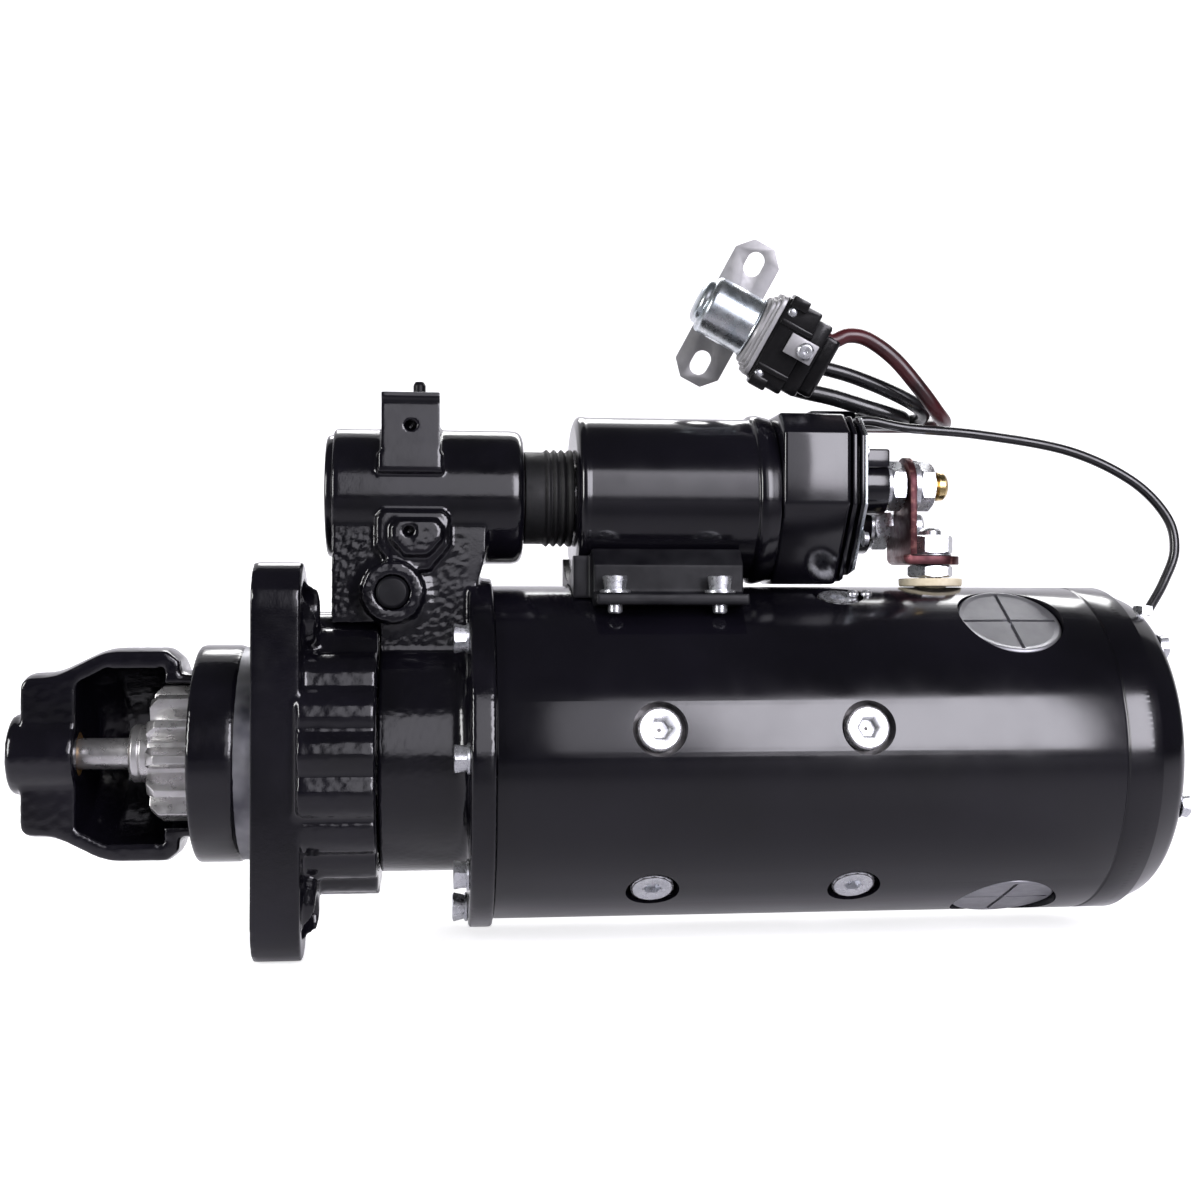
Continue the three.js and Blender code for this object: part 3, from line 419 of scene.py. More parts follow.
class Graph:
    """A material's node graph, with noises sized in millimetres."""

    def __init__(self, name):
        self.material = bpy.data.materials.new(name)
        self.material.use_nodes = True
        self.tree = self.material.node_tree
        self.tree.nodes.clear()
        self.place = self.add("ShaderNodeTexCoord").outputs["Object"]
        self.shader = self.add("ShaderNodeBsdfPrincipled")
        self.add("ShaderNodeOutputMaterial", {"Surface": self.shader.outputs[0]})

    def add(self, kind, inputs=None, **settings):
        node = self.tree.nodes.new(kind)
        for key, value in settings.items():
            setattr(node, key, value)
        self.feed(node, inputs or {})
        return node

    def feed(self, node, inputs):
        for key, value in inputs.items():
            if isinstance(value, bpy.types.NodeSocket):
                self.tree.links.new(value, node.inputs[key])
            else:
                node.inputs[key].default_value = value

    def clouds(self, size, detail=3.0, stretch=(1, 1, 1)):
        mapping = self.add("ShaderNodeMapping", {"Vector": self.place, "Scale": stretch})
        inputs = {"Vector": mapping.outputs[0], "Scale": 1 / (size * MM), "Detail": detail}
        return self.add("ShaderNodeTexNoise", inputs).outputs["Fac"]

    def spread(self, value, low, high, to_low=0, to_high=1):
        inputs = {"Value": value, "From Min": low, "From Max": high, "To Min": to_low, "To Max": to_high}
        return self.add("ShaderNodeMapRange", inputs).outputs["Result"]

    def blend(self, share, first, second):
        node = self.add("ShaderNodeMix", {0: share, 6: first, 7: second}, data_type="RGBA")
        return node.outputs[2]

    def bump(self, height, millimetres, under=None):
        inputs = {"Height": height, "Distance": millimetres * MM}
        if under:
            inputs["Normal"] = under
        return self.add("ShaderNodeBump", inputs).outputs["Normal"]


# The first material made for each slot of the record, for the CAD parts that stay.
LOOKS = {}


def finish(
    slot, colours, roughness, metallic=0.0, *, patch, grain, stretch=(1, 1, 1), waves=None, coat=0.0,
    edge_wear_and_highlight=None, shine=0.5,
):
    """A material: two colours in soft patches, a range of roughness, and a fine grain as (size, height).

    waves is a second, wider (size, height) relief under the grain, such as a paint's orange peel or a
    casting's skin. The edge colour is bare metal and a painted highlight on pointed edges, where the mesh is
    fine enough.
    """
    g = Graph(slot)
    first, second = [(*colour, 1) for colour in colours]
    base = g.blend(g.spread(g.clouds(patch), 0.35, 0.65), first, second)
    rough = g.spread(g.clouds(patch * 0.3), 0.3, 0.7, *roughness)
    # Pointed edges are lightened: partly wear, partly a painted highlight along them.
    if edge_wear_and_highlight:
        point = g.add("ShaderNodeNewGeometry").outputs["Pointiness"]
        ragged = g.add("ShaderNodeMath", {0: point, 1: g.spread(g.clouds(2.5), 0.3, 0.7, -0.03, 0.03)})
        base = g.blend(g.spread(ragged.outputs[0], 0.56, 0.64, 0, 0.55), base, (*edge_wear_and_highlight, 1))
    normal = g.bump(g.clouds(waves[0], 2), waves[1]) if waves else None
    normal = g.bump(g.clouds(grain[0], 4, stretch), grain[1], normal)
    g.feed(g.shader, {
        "Base Color": base, "Roughness": rough, "Metallic": metallic, "Normal": normal,
        "Coat Weight": coat, "Coat Roughness": 0.12, "Specular IOR Level": shine,
    })
    LOOKS.setdefault(slot, g.material)
    return g.material, slot


INK, NIGHT, SOOT = (0.0022, 0.002, 0.0034), (0.0045, 0.004, 0.0068), (0.004, 0.004, 0.0045)

ENAMEL = finish(
    "black_paint", (INK, NIGHT), (0.12, 0.2), patch=60, grain=(0.35, 0.0012), waves=(2.6, 0.006), coat=0.25,
)
# The castings' edges are lightened a little: slight wear, and a painted highlight along them.
CAST_ENAMEL = finish(
    "black_paint", (INK, NIGHT), (0.1, 0.2), patch=30, grain=(0.8, 0.014), waves=(3.2, 0.04), coat=0.25,
    edge_wear_and_highlight=(0.02, 0.02, 0.024),
)
MATT_ENAMEL = finish(
    "black_paint", (INK, (0.012, 0.012, 0.014)), (0.34, 0.5), patch=20, grain=(0.5, 0.012),
    waves=(2.2, 0.02), shine=0.2,
)
ZINC = finish(
    "zinc", ((0.74, 0.75, 0.77), (0.62, 0.63, 0.66)), (0.22, 0.36), 0.9, patch=6, grain=(0.4, 0.0025),
)
BLUE_ZINC = finish(
    "blue_zinc", ((0.5, 0.56, 0.6), (0.66, 0.68, 0.7)), (0.22, 0.34), 0.95, patch=9, grain=(0.3, 0.001),
)
EAR_ZINC = finish(
    "blue_zinc", ((0.42, 0.415, 0.42), (0.35, 0.345, 0.355)), (0.42, 0.56), 0.7, patch=7, grain=(0.5, 0.01),
)
STEEL = finish(
    "steel", ((0.66, 0.65, 0.65), (0.5, 0.49, 0.49)), (0.24, 0.36), 0.9, patch=12, grain=(0.5, 0.0015),
    stretch=(6, 1, 1),
)
GROUND_STEEL = finish(
    "steel", ((0.4, 0.4, 0.42), (0.06, 0.06, 0.075)), (0.3, 0.45), 0.9, patch=26, grain=(0.5, 0.01),
    stretch=(8, 1, 1),
)
finish("iron", ((0.16, 0.155, 0.155), (0.1, 0.095, 0.095)), (0.4, 0.6), 0.9, patch=10, grain=(0.7, 0.03))
GREY_ALLOY = finish(
    "grey_alloy", ((0.37, 0.37, 0.39), (0.29, 0.29, 0.31)), (0.34, 0.5), 0.85, patch=14, grain=(0.3, 0.01),
)
finish("copper", ((0.68, 0.32, 0.17), (0.45, 0.17, 0.09)), (0.28, 0.5), 1.0, patch=8, grain=(0.4, 0.01))
# The pale pink edge colour is mostly a painted highlight along the strap's edges, partly bare copper.
RED_COPPER = finish(
    "red_copper", ((0.1, 0.03, 0.032), (0.06, 0.018, 0.022)), (0.3, 0.5), 0.75, patch=9, grain=(0.4, 0.012),
    edge_wear_and_highlight=(0.6, 0.3, 0.26),
)
BRASS = finish(
    "zinc", ((0.6, 0.46, 0.22), (0.48, 0.34, 0.16)), (0.2, 0.35), 1.0, patch=5, grain=(0.3, 0.006),
)
BRONZE = finish(
    "bronze", ((0.42, 0.26, 0.1), (0.3, 0.17, 0.07)), (0.35, 0.55), 1.0, patch=6, grain=(0.25, 0.02),
)
BAKELITE = finish(
    "bakelite", (SOOT, (0.009, 0.0085, 0.009)), (0.14, 0.26), patch=12, grain=(0.4, 0.01),
    waves=(2.0, 0.02), shine=0.3,
)
RUBBER = finish("rubber", (SOOT, (0.008, 0.0075, 0.008)), (0.5, 0.7), patch=15, grain=(0.5, 0.02))
CREAM = finish("cream", ((0.78, 0.7, 0.52), (0.66, 0.57, 0.39)), (0.5, 0.7), patch=5, grain=(0.5, 0.03))
finish("carbon", ((0.03, 0.027, 0.025), (0.055, 0.045, 0.04)), (0.6, 0.85), 0.2, patch=3, grain=(0.3, 0.03))
RED_CABLE = finish(
    "red_cable", ((0.075, 0.008, 0.012), (0.012, 0.004, 0.005)), (0.3, 0.46), patch=24, grain=(0.8, 0.02),
    coat=0.25,
)
BLACK_CABLE = finish(
    "black_cable", (SOOT, (0.008, 0.0075, 0.009)), (0.22, 0.4), patch=18, grain=(0.9, 0.02),
    coat=0.4,
)

# ---- pieces


def piece(name, bm, look, replaces=(), body="housing", sharp=32):
    """Puts a mesh into the scene, in metres in the CAD model's frame, riding on a body."""
    mesh = new_mesh(name, moved(bm, Matrix.Translation(AXIS) @ Matrix.Scale(MM, 4)))
    shade_smooth(mesh, sharp)
    material, slot = look
    mesh.materials.append(material)
    shown = linked(name, mesh)
    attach(shown, body)
    if replaces:
        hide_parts(*replaces)
    return shown


# ---- fasteners


def hexagonal_side(across, crown, end, inward):
    """The edge where a hexagon's flats meet its chamfer, as a profile point for a lathe."""
    def at(angle):
        r = across / 2 / math.cos((angle + math.pi / 6) % (math.pi / 3) - math.pi / 6)
        return end + inward * max(0, r - crown) * math.tan(math.radians(30)), r
    return at


def nut(low, high, across, bore, y=0.0, z=0.0):
    crown = 0.48 * across
    sides = [hexagonal_side(across, crown, low, 1), hexagonal_side(across, crown, high, -1)]
    mouth = bore + 0.5
    inside = [(high, mouth), (high - 0.5, bore), (low + 0.5, bore), (low, mouth)]
    return lathe([(low, crown), *sides, (high, crown), *inside], 72, y, z, closed=True)


def bolt_head(low, high, across, foot_r):
    """A hexagon head that faces +X, with its flange at the low end."""
    crown = 0.48 * across
    rise = (high - low) * 0.22
    flange = [
        (low, 0), (low, foot_r - 0.2), (low + 0.2, foot_r), (low + rise * 0.7, foot_r), (low + rise, crown),
    ]
    sides = [(low + rise, crown * 1.001), hexagonal_side(across, crown, high, -1)]
    top = [(high, crown), (high, crown * 0.6), (high - 0.35, crown * 0.5), (high - 0.35, 0)]
    return lathe([*flange, *sides, *top], 72)


def threaded_stud(low, high, r, y=0.0, z=0.0, head=()):
    """A stud along X whose last turns are chamfered, after the profile of its head."""
    pitch = 1.5
    profile = [*head] if head else [(low, 0), (low, r)]
    start = profile[-1][0] + 0.5
    for turn in range(int((high - 2 - start) / pitch)):
        x = start + pitch * turn
        profile += [(x, r - 0.6 * pitch), (x + 0.4 * pitch, r), (x + 0.55 * pitch, r)]
    profile += [(high - 1.4, r - 0.2), (high - 0.2, r - 1.4), (high, r - 1.8), (high, 0)]
    return lathe(profile, 48, y, z)


def washer(low, high, r, bore, y=0.0, z=0.0):
    edge = 0.25
    outline = [
        (low, bore), (low, r - edge), (low + edge, r), (high - edge, r), (high, r - edge), (high, bore),
    ]
    return lathe(outline, 72, y, z, closed=True)


# ---- drive end housing


def fluted(outer_r, groove_r, flutes, first_angle):
    """A ring of rounded flutes: each is an arc that reaches outer_r and meets its neighbours at groove_r."""
    half = math.pi / flutes
    centre_r = (outer_r ** 2 - groove_r ** 2) / (2 * (outer_r - groove_r * math.cos(half)))
    sweep = math.atan2(groove_r * math.sin(half), groove_r * math.cos(half) - centre_r)
    outline = []
    for flute in range(flutes):
        angle = first_angle + 2 * half * flute
        centre = (centre_r * math.cos(angle), centre_r * math.sin(angle))
        outline += arc(*centre, outer_r - centre_r, angle - sweep, angle + sweep, 8)[:-1]
    return outline


def flange_outline():
    outline = []
    for lobe in range(3):
        angle = lobe * TURN / 3
        centre = (BOLT_CIRCLE_R * math.cos(angle), BOLT_CIRCLE_R * math.sin(angle))
        outline += arc(*centre, LOBE_R, angle - math.pi / 3, angle + math.pi / 3, 16)
    return outline


NOSE_R = 45
NOSE_FRONT = NOSE_TIP + 5.8
NOSE_TIP_R = 34.5
END_WALL = (-40, -34)
NECK_R = 35.5
PILOT = (-26.3, -8.2)
BORE_R = 32.2
CAVITY_END = -76
SEAT_R = PILOT_R - 0.9


def drive_housing():
    nose = turned([
        (NOSE_FRONT, 0), (NOSE_FRONT, NOSE_TIP_R, 5), (-85, NOSE_TIP_R, 6), (-64, NOSE_R, 6),
        (END_WALL[0] + 1, NOSE_R), (END_WALL[1], NOSE_R - 4), (END_WALL[1], NECK_R), (PILOT[0], NECK_R),
        (PILOT[0], PILOT_R), (PILOT[1], PILOT_R), (PILOT[1], SEAT_R - 0.5), (1, SEAT_R - 0.5), (1, 0),
    ], 1.0, 144)
    window = block((NOSE_TIP - 5, -60, -60), (PILOT[0] - 0.5, -12, 60))
    cavity = lathe([
        (CAVITY_END, 0), (CAVITY_END, NOSE_TIP_R - 2), (-64, NOSE_R - 6.5), (END_WALL[0], NOSE_R - 6.5),
        (END_WALL[0], BORE_R), (12, BORE_R), (22, 50), (DRUM_END + 1, 50), (DRUM_END + 1, 0),
    ], 144)
    boss_end = NOSE_TIP + 0.3
    boss = turned([(boss_end, 0), (boss_end, 17, 3), (CAVITY_END, 17), (CAVITY_END, 0)], 2, 72)
    bush_seat = rod("X", 9.5, -98, -75)
    flange = prism(flange_outline(), 0, FLANGE_END)
    drum = prism(fluted(DRUM_R, DRUM_R - 3.2, 20, math.radians(13)), FLANGE_END - 1, DRUM_END)
    gussets = [outwards(upright_cone(), angle) for angle in (-60, 60)]
    hole = rod("X", 8.5, -1, 30, BOLT_CIRCLE_R)
    holes = [moved(hole.copy(), Matrix.Rotation(lobe * TURN / 3, 4, "X")) for lobe in range(3)]
    fork_slot = block((40, -16, 35), (60, 16, 70))
    shell = union(nose, flange, drum, *gussets)
    shell = union(cut(shell, window, cavity, *holes, fork_slot), boss)
    casting = as_cast(cut(shell, bush_seat), 1.05, 4)
    return roughened(casting, 3.0, 0.1, lambda p: float(p.x > FLANGE_END + 2 or p.x < PILOT[0] - 2))


def upright_cone():
    """A low cone behind a flange lobe, drawn at the top of the bolt circle."""
    cone = lathe([(FLANGE_END - 1, 0), (FLANGE_END - 1, 14.5), (25, 11.5), (25, 0)], 48)
    return shifted(cone, z=BOLT_CIRCLE_R - 6)


piece("drive_housing_casting", drive_housing(), CAST_ENAMEL, ["drive_housing"], sharp=60)
seat = [(PILOT[1] - 0.1, 40), (PILOT[1] - 0.1, SEAT_R), (-0.2, SEAT_R), (-0.2, 40)]
piece("pilot_seat", turned_ring(seat, 0.3, 144), GROUND_STEEL)

bush_low, bush_high = box_of("nose_bushing")
bush = [(bush_low.x, 6.8), (bush_low.x, bush_high.z), (bush_high.x, bush_high.z), (bush_high.x, 6.8)]
piece("nose_bush", turned_ring(bush, 0.5, 48), BRONZE, ["nose_bushing"])

# ---- fork housing


def shield(x, z, half, rise, drop):
    """A plate's outline with a flat top and deep chamfers at its lower corners. Its hole is at x, z."""
    right = [
        (half * 0.45, z - drop), (half, z - drop * 0.35), (half, z + rise - 3), (half - 2.5, z + rise),
    ]
    return [(x - reach, w) for reach, w in reversed(right)] + [(x + reach, w) for reach, w in right]


NECK_X = (29.6, 93.5)
TOWER_X, TOWER_TOP = (50, 74), 151.2
BARREL_X = (PLUG_LOW.x + 2.6, low_of("rubber_boot").x - 0.4)


def fork_housing():
    body = turned([
        (FORK_BODY[0], 0), (FORK_BODY[0], 51), (FORK_BODY[1] - 4, 51, 3), (FORK_BODY[1] + 1, 56),
        (FORK_BODY[1] + 1, 0),
    ], 1.0, 144)
    rim = turned([(RIM[0], 0), (RIM[0], RIM_R - 0.1), (RIM[1], RIM_R - 0.1), (RIM[1], 0)], 1.2, 180)
    neck = prism(eased([
        (FORK_BODY[0] + 0.4, 38), (FORK_BODY[0] + 0.4, 50), (NECK_X[0], 50), (NECK_X[0], SOLENOID_Z),
        (NECK_X[1], SOLENOID_Z), (NECK_X[1], 84, 8), (89, 70, 6), (86, 38),
    ], 1.0, closed=True), -26, 26, "Y")
    barrel = turned([
        (BARREL_X[0], 0), (BARREL_X[0], BARREL_R, 2), (BARREL_X[1], BARREL_R, 5), (BARREL_X[1], 0),
    ], 2, 120, SOLENOID_Z)
    tower = block((TOWER_X[0], -30, 118), (TOWER_X[1], 6, TOWER_TOP))
    tower_base = block((TOWER_X[0] - 1.5, -30.6, 118), (TOWER_X[1] + 1, 6, 126.5))
    tower_lip = block((TOWER_X[0], -31, TOWER_TOP - 2.6), (TOWER_X[1], -29.5, TOWER_TOP))
    pad = prism(shield(63, 92.5, 15, 9.5, 15), -32.6, -18, "Y")
    raised = prism(shield(64.5, 93.5, 10.5, 4.5, 10), -36.6, -18, "Y")
    boss = rod("Y", 12.5, PIVOT.y - 32 + 1, 30, PIVOT.x, PIVOT.z, 64)
    collar = rod("Y", 15.5, -26.5, 27, PIVOT.x, PIVOT.z, 64)
    shell = union(body, rim, neck, barrel, tower, tower_base, tower_lip, pad, raised, collar, boss)
    drum_room = rod("X", DRUM_R + 0.6, 20, FORK_BODY[0] - 0.1, steps=120)
    lower_cavity = rod("X", 44, 40, RIM[0] - 6.2, steps=96)
    rear_cavity = rod("X", 64, RIM[0] + 1.8, RIM[1] + 1, steps=120)
    slot = block((40, -16, 30), (78, 16, SOLENOID_Z))
    bore = rod("X", 23, PLUG_LOW.x, BARREL_X[1] + 1, 0, SOLENOID_Z, 72)
    plug_seat = rod("X", BARREL_R - 2.2, PLUG_LOW.x, PLUG_HIGH.x + 0.4, 0, SOLENOID_Z, 96)
    shaft_hole = rod("X", 16, RIM[0] - 8, RIM[0] + 3, steps=64)
    pin_hole = rod("Y", 7.2, -40, -29.5, PIVOT.x, PIVOT.z)
    screw_holes = [rod("Y", 2.4, -32, -22, 62, 137.5), rod("Y", 2.2, -38, -30, 61.5, 93.5)]
    hollows = [drum_room, lower_cavity, rear_cavity, slot, bore, plug_seat, shaft_hole, pin_hole]
    casting = as_cast(cut(shell, *hollows, *screw_holes), 1.0, 3)

    def rough_skin(p):
        """The neck is as cast, the drum below it less so, and the barrel, tower and rim are smooth."""
        if p.x > RIM[0] - 1:
            return 0.0
        below_barrel = min(1, max(0, (SOLENOID_Z - 12 - p.z) / 8))
        above_drum = min(1, max(0, (p.z - 42) / 8))
        return 0.05 + below_barrel * (0.2 + 0.75 * above_drum)
    return roughened(casting, 1.3, 0.26, rough_skin)


piece("fork_housing_casting", fork_housing(), CAST_ENAMEL, ["fork_housing"], sharp=60)

piece("barrel_end_plug", turned([
    (PLUG_LOW.x + 1.2, 0), (PLUG_LOW.x + 1.2, 17), (PLUG_LOW.x, 18.5), (PLUG_LOW.x, BARREL_R - 3.2, 1.6),
    (PLUG_LOW.x + 2, BARREL_R - 2.6), (PLUG_HIGH.x, BARREL_R - 2.6), (PLUG_HIGH.x, 0),
], 0.8, 120, SOLENOID_Z), ENAMEL, ["barrel_plug"])

pin_low, pin_high = box_of("fork_pivot_pin")
pivot_pin = turned([
    (pin_low.y, 0), (pin_low.y, 5.6), (pin_low.y + 1.2, 6.75), (pin_low.y + 4, 6.75), (pin_low.y + 4, 5),
    (pin_high.y - 1, 5), (pin_high.y, 4), (pin_high.y, 0),
], 0.4, 60)
piece("pivot_pin", facing(pivot_pin, 90, (PIVOT.x, 0, PIVOT.z)), MATT_ENAMEL, ["fork_pivot_pin"])

tower_pin = turned([
    (149, 0), (149, 4.6), (151.5, 4.6), (151.5, 2.6), (156, 2.6), (157.5, 1.8), (157.5, 0),
], 0.3, 36)
piece("tower_pin", shifted(upright(tower_pin), x=65.4, y=-14), MATT_ENAMEL)

for index, angle in enumerate((48, 3, -42, -87, -132, 183, 138), 1):
    head = facing(bolt_head(0, 6.4, 10.8, 6.2), 180, (RIM[0] - 0.1, 0, 67))
    piece(f"rim_bolt_{index}", outwards(head, angle), ZINC)

# ---- field frame and what is set in it

POLE_ANGLES = [-48 + 60 * pole for pole in range(6)]
POLE_SCREW_X = (160.5, 244.5)
INSPECTION_ANGLES = (56, -64, 176)
INSPECTION_X = centre_of("brush_plug_1").x
INSPECTION_R = (high_of("brush_plug_1").x - low_of("brush_plug_1").x) / 2
FIELD_STUD_X = centre_of("field_stud").x


def field_frame():
    """A tube with a fine groove round it near the rear cover, and its holes."""
    x0, x1, r = FRAME_LOW.x, FRAME_HIGH.x, FRAME_R
    bore_r, groove_r = r - 7.5, r - 0.6
    section = [
        (x0, bore_r), (x0, r), (x1 - 15.4, r), (x1 - 15, groove_r), (x1 - 14.4, groove_r), (x1 - 14, r),
        (x1, r), (x1, bore_r),
    ]
    tube_wall = lathe(eased(section, 0.3, closed=True, steps=2), 240, closed=True)
    holes = [
        outwards(rod("Z", 11, 60, 80, x, 0, 64), angle) for angle in POLE_ANGLES for x in POLE_SCREW_X
    ]
    for angle in INSPECTION_ANGLES:
        holes.append(outwards(rod("Z", INSPECTION_R + 0.3, 55, 80, INSPECTION_X, 0, 120), angle))
    return cut(tube_wall, *holes, rod("Z", 7.5, 55, 80, FIELD_STUD_X, 0, 48))


piece("field_frame_tube", field_frame(), ENAMEL, ["field_frame"], sharp=28)


def pole_screw():
    """A socket-head screw seen end on, drawn along X with its face at zero."""
    socket = [hexagonal_side(6.6, 99, -0.5, 0), hexagonal_side(6.6, 99, -4, 0), (-4.4, 0)]
    face = [(-5, 0), (-5, 8.85), (-0.9, 8.85), (0, 7.9), (0, 4.6)]
    return lathe([*face, *socket], 72)


for pole, angle in enumerate(POLE_ANGLES):
    for end, x in enumerate(POLE_SCREW_X):
        screw = shifted(upright(pole_screw()), x=x, z=FRAME_R - 0.7)
        piece(f"pole_screw_{2 * pole + end + 1}", outwards(screw, angle), ZINC)


def brush_plug():
    """A round inspection plug, dished a little, with two fine slots across it."""
    top = FRAME_R - 2.5
    disc = upright(turned([
        (top - 7, 0), (top - 7, INSPECTION_R - 1), (top - 6, INSPECTION_R), (top - 0.8, INSPECTION_R),
        (top, INSPECTION_R - 1), (top - 0.4, INSPECTION_R - 3), (top - 0.2, 0),
    ], 0.4, 120))
    half_length, half_width = 20, 0.8
    slots = [
        block((-x, -y, top - 2.2), (x, y, top + 2))
        for x, y in ((half_length, half_width), (half_width, half_length))
    ]
    return shifted(cut(disc, *slots), x=INSPECTION_X)


for index, angle in enumerate(INSPECTION_ANGLES, 1):
    piece(f"inspection_plug_{index}", outwards(brush_plug(), angle), GREY_ALLOY, [f"brush_plug_{index}"])

for index, x in enumerate((251, 257), 1):
    rivet = upright(turned([(0, 0), (0, 2.6), (1.6, 2.3), (2.2, 1.2), (2.2, 0)], 0.5, 36))
    piece(f"frame_screw_{index}", outwards(shifted(rivet, x=x, z=FRAME_R - 0.3), 72), ZINC)

# ---- commutator end


def rear_cover():
    """A cup with rounded shoulders, a shallow dish in its rear face, and a spigot into the frame."""
    x0, x1 = COVER_LOW.x + 8, COVER_HIGH.x - 4.5
    return turned([
        (x0 - 8, 60), (x0 - 8, 63.7), (x0, 63.7), (x0, FRAME_R, 1), (x0 + 5, FRAME_R, 2), (x1 - 3, 66, 3),
        (x1, 62, 3), (x1, 32, 1), (x1 - 1.2, 30, 1), (x1 - 1.2, 18), (x1 + 0.6, 16.5), (x1 + 0.6, 0),
        (x1 - 5, 0), (x1 - 5, 14), (352, 14), (352, 22), (x1 - 8, 26), (x1 - 8, 58), (x0, 60),
    ], 0.8, 200)


piece("rear_cover_shell", rear_cover(), ENAMEL, ["rear_cover"], sharp=40)
for index, angle in enumerate((-20, 52, 124, 196, 268), 1):
    head = shifted(bolt_head(COVER_HIGH.x - 4.6, COVER_HIGH.x - 0.1, 9.4, 5.4), z=58)
    piece(f"rear_bolt_{index}", outwards(head, angle), ZINC)
terminal = upright(nut(59.5, 63.5, 8, 2.2))
piece("ring_terminal_nut", shifted(terminal, x=382.5, y=-21, z=0), ZINC)

# ---- solenoid


def solenoid_case():
    """A tube with a rolled front edge and a bead where the cap starts."""
    x0, x1, r = CASE_LOW.x, CASE_HIGH.x, 35.3
    front = [(x0, 16.4), (x0, r - 3.6, 1), (x0 + 1.2, r - 0.4, 1.6), (x0 + 3.4, r + 0.5, 1), (x0 + 5, r, 1)]
    bead = [
        (x1 - 9.6, r), (x1 - 8.6, r + 1.3, 1), (x1 - 6, r + 2, 2), (x1 - 3, r + 1.3, 1), (x1, r + 0.6),
    ]
    inside = [(x1, r - 3), (x0 + 4, r - 3), (x0 + 4, 16.4)]
    return turned_ring([*front, *bead, *inside], 0.6, 160, SOLENOID_Z)


piece("solenoid_case_shell", solenoid_case(), ENAMEL, ["solenoid_case"], sharp=40)

CUP = (CAP_LOW.x, CAP_LOW.x + 29)
CUP_HALF = 37.2
END_PLATE = (CUP[1] + 5.4, CUP[1] + 7.7)
BOSS_END = CAP_HIGH.x
STUD_R, STUD_HOLE_R = 6.35, 6.65
NUT_ACROSS = 19
MOTOR = centre_of("motor_stud")
BATTERY = centre_of("battery_stud")


def cap_outline(half):
    """Eight sides: a flat on each side, small chamfers at the top corners and deep ones at the bottom."""
    side = [(0.33 * half, -half), (half, -0.11 * half), (half, 0.72 * half), (0.72 * half, 0.96 * half)]
    outline = side + [(-y, z) for y, z in reversed(side)]
    return [(y, z + SOLENOID_Z) for y, z in outline]


def under_cap():
    """The wedge cut away below the cap's rear end."""
    bottom, end = SOLENOID_Z - 40, 262
    return prism([(CUP[1] - 3.3, bottom), (end, bottom), (end, SOLENOID_Z - 24)], -50, 50, "Y")


def solenoid_cap():
    cup = softened(prism(cap_outline(CUP_HALF), *CUP), 1.8, 3)
    core = prism(cap_outline(30), CUP[1] - 1, END_PLATE[1] - 0.2)
    plates = [
        softened(prism(cap_outline(36), CUP[1] + 1, CUP[1] + 3), 0.5),
        softened(prism(cap_outline(35.5), END_PLATE[0] - 0.6, END_PLATE[0] + 0.8), 0.3),
    ]
    tab = softened(block((END_PLATE[0], -24, SOLENOID_Z + 13), (267, -13, SOLENOID_Z + 21)), 1)
    bosses = [
        softened(rod("X", 13, END_PLATE[0] + 1, BOSS_END, *stud.yz, 64), 0.8)
        for stud in (MOTOR, BATTERY)
    ]
    lead_block = softened(block((241, 13, SOLENOID_Z + 20), (262, 38, SOLENOID_Z + 42)), 1)
    hollow = rod("X", 30, CUP[0] - 1, CUP[1] - 0.3, 0, SOLENOID_Z, 96)
    holes = [rod("X", STUD_HOLE_R, 240, 270, *stud.yz) for stud in (MOTOR, BATTERY)]
    return cut(union(cup, core, *plates, *bosses, lead_block, tab), hollow, *holes, under_cap())


def end_plate():
    plate = softened(prism(cap_outline(35.5), END_PLATE[0] + 0.9, END_PLATE[1]), 0.3)
    middle = prism(cap_outline(29), END_PLATE[0] - 1, END_PLATE[1] + 1)
    return cut(plate, middle, under_cap())


piece("solenoid_cap_moulding", solenoid_cap(), ENAMEL, ["solenoid_cap"], sharp=30)
piece("cap_end_plate", end_plate(), BLUE_ZINC)
for index, (side, z) in enumerate(((-1, 129), (-1, 92), (1, 129), (1, 92)), 1):
    head = bolt_head(END_PLATE[1], END_PLATE[1] + 2.2, 5.4, 3.4)
    piece(f"cap_screw_{index}", shifted(head, y=27.06 * side, z=z), ZINC)


def rubber_boot():
    x0, x1 = low_of("rubber_boot").x, high_of("rubber_boot").x
    folds = []
    for fold in range(3):
        crest = 120 + 3.2 * fold
        folds += [(crest, 21.4, 0.7), (crest + 1.6, 19.6, 0.6)]
    outside = [(x0, 18), (x0, 20, 0.8), (118.5, 20), *folds, (129.3, 21), (x1, 21)]
    return turned_ring([*outside, (x1, 18.4), (119, 18)], 0.5, 96, SOLENOID_Z)


piece("boot", rubber_boot(), RUBBER, ["rubber_boot"], sharp=50)


def terminal_stud(node, nut_end, stud_end):
    """A stud with its head inside the cap, and the washer and nut that hold it in its boss."""
    x = low_of(node).x
    stud = centre_of(node)
    head = [(x, 0), (x, 9.1), (x + 0.4, 9.5), (x + 4.5, 9.5), (x + 4.5, STUD_R)]
    shank = threaded_stud(x, stud_end, STUD_R, *stud.yz, head)
    jam = nut(BOSS_END + 2.2, nut_end, NUT_ACROSS, 5.9, *stud.yz)
    under = washer(BOSS_END + 0.3, BOSS_END + 2.1, 10.8, 6.2, *stud.yz)
    return together(shank, jam, under)


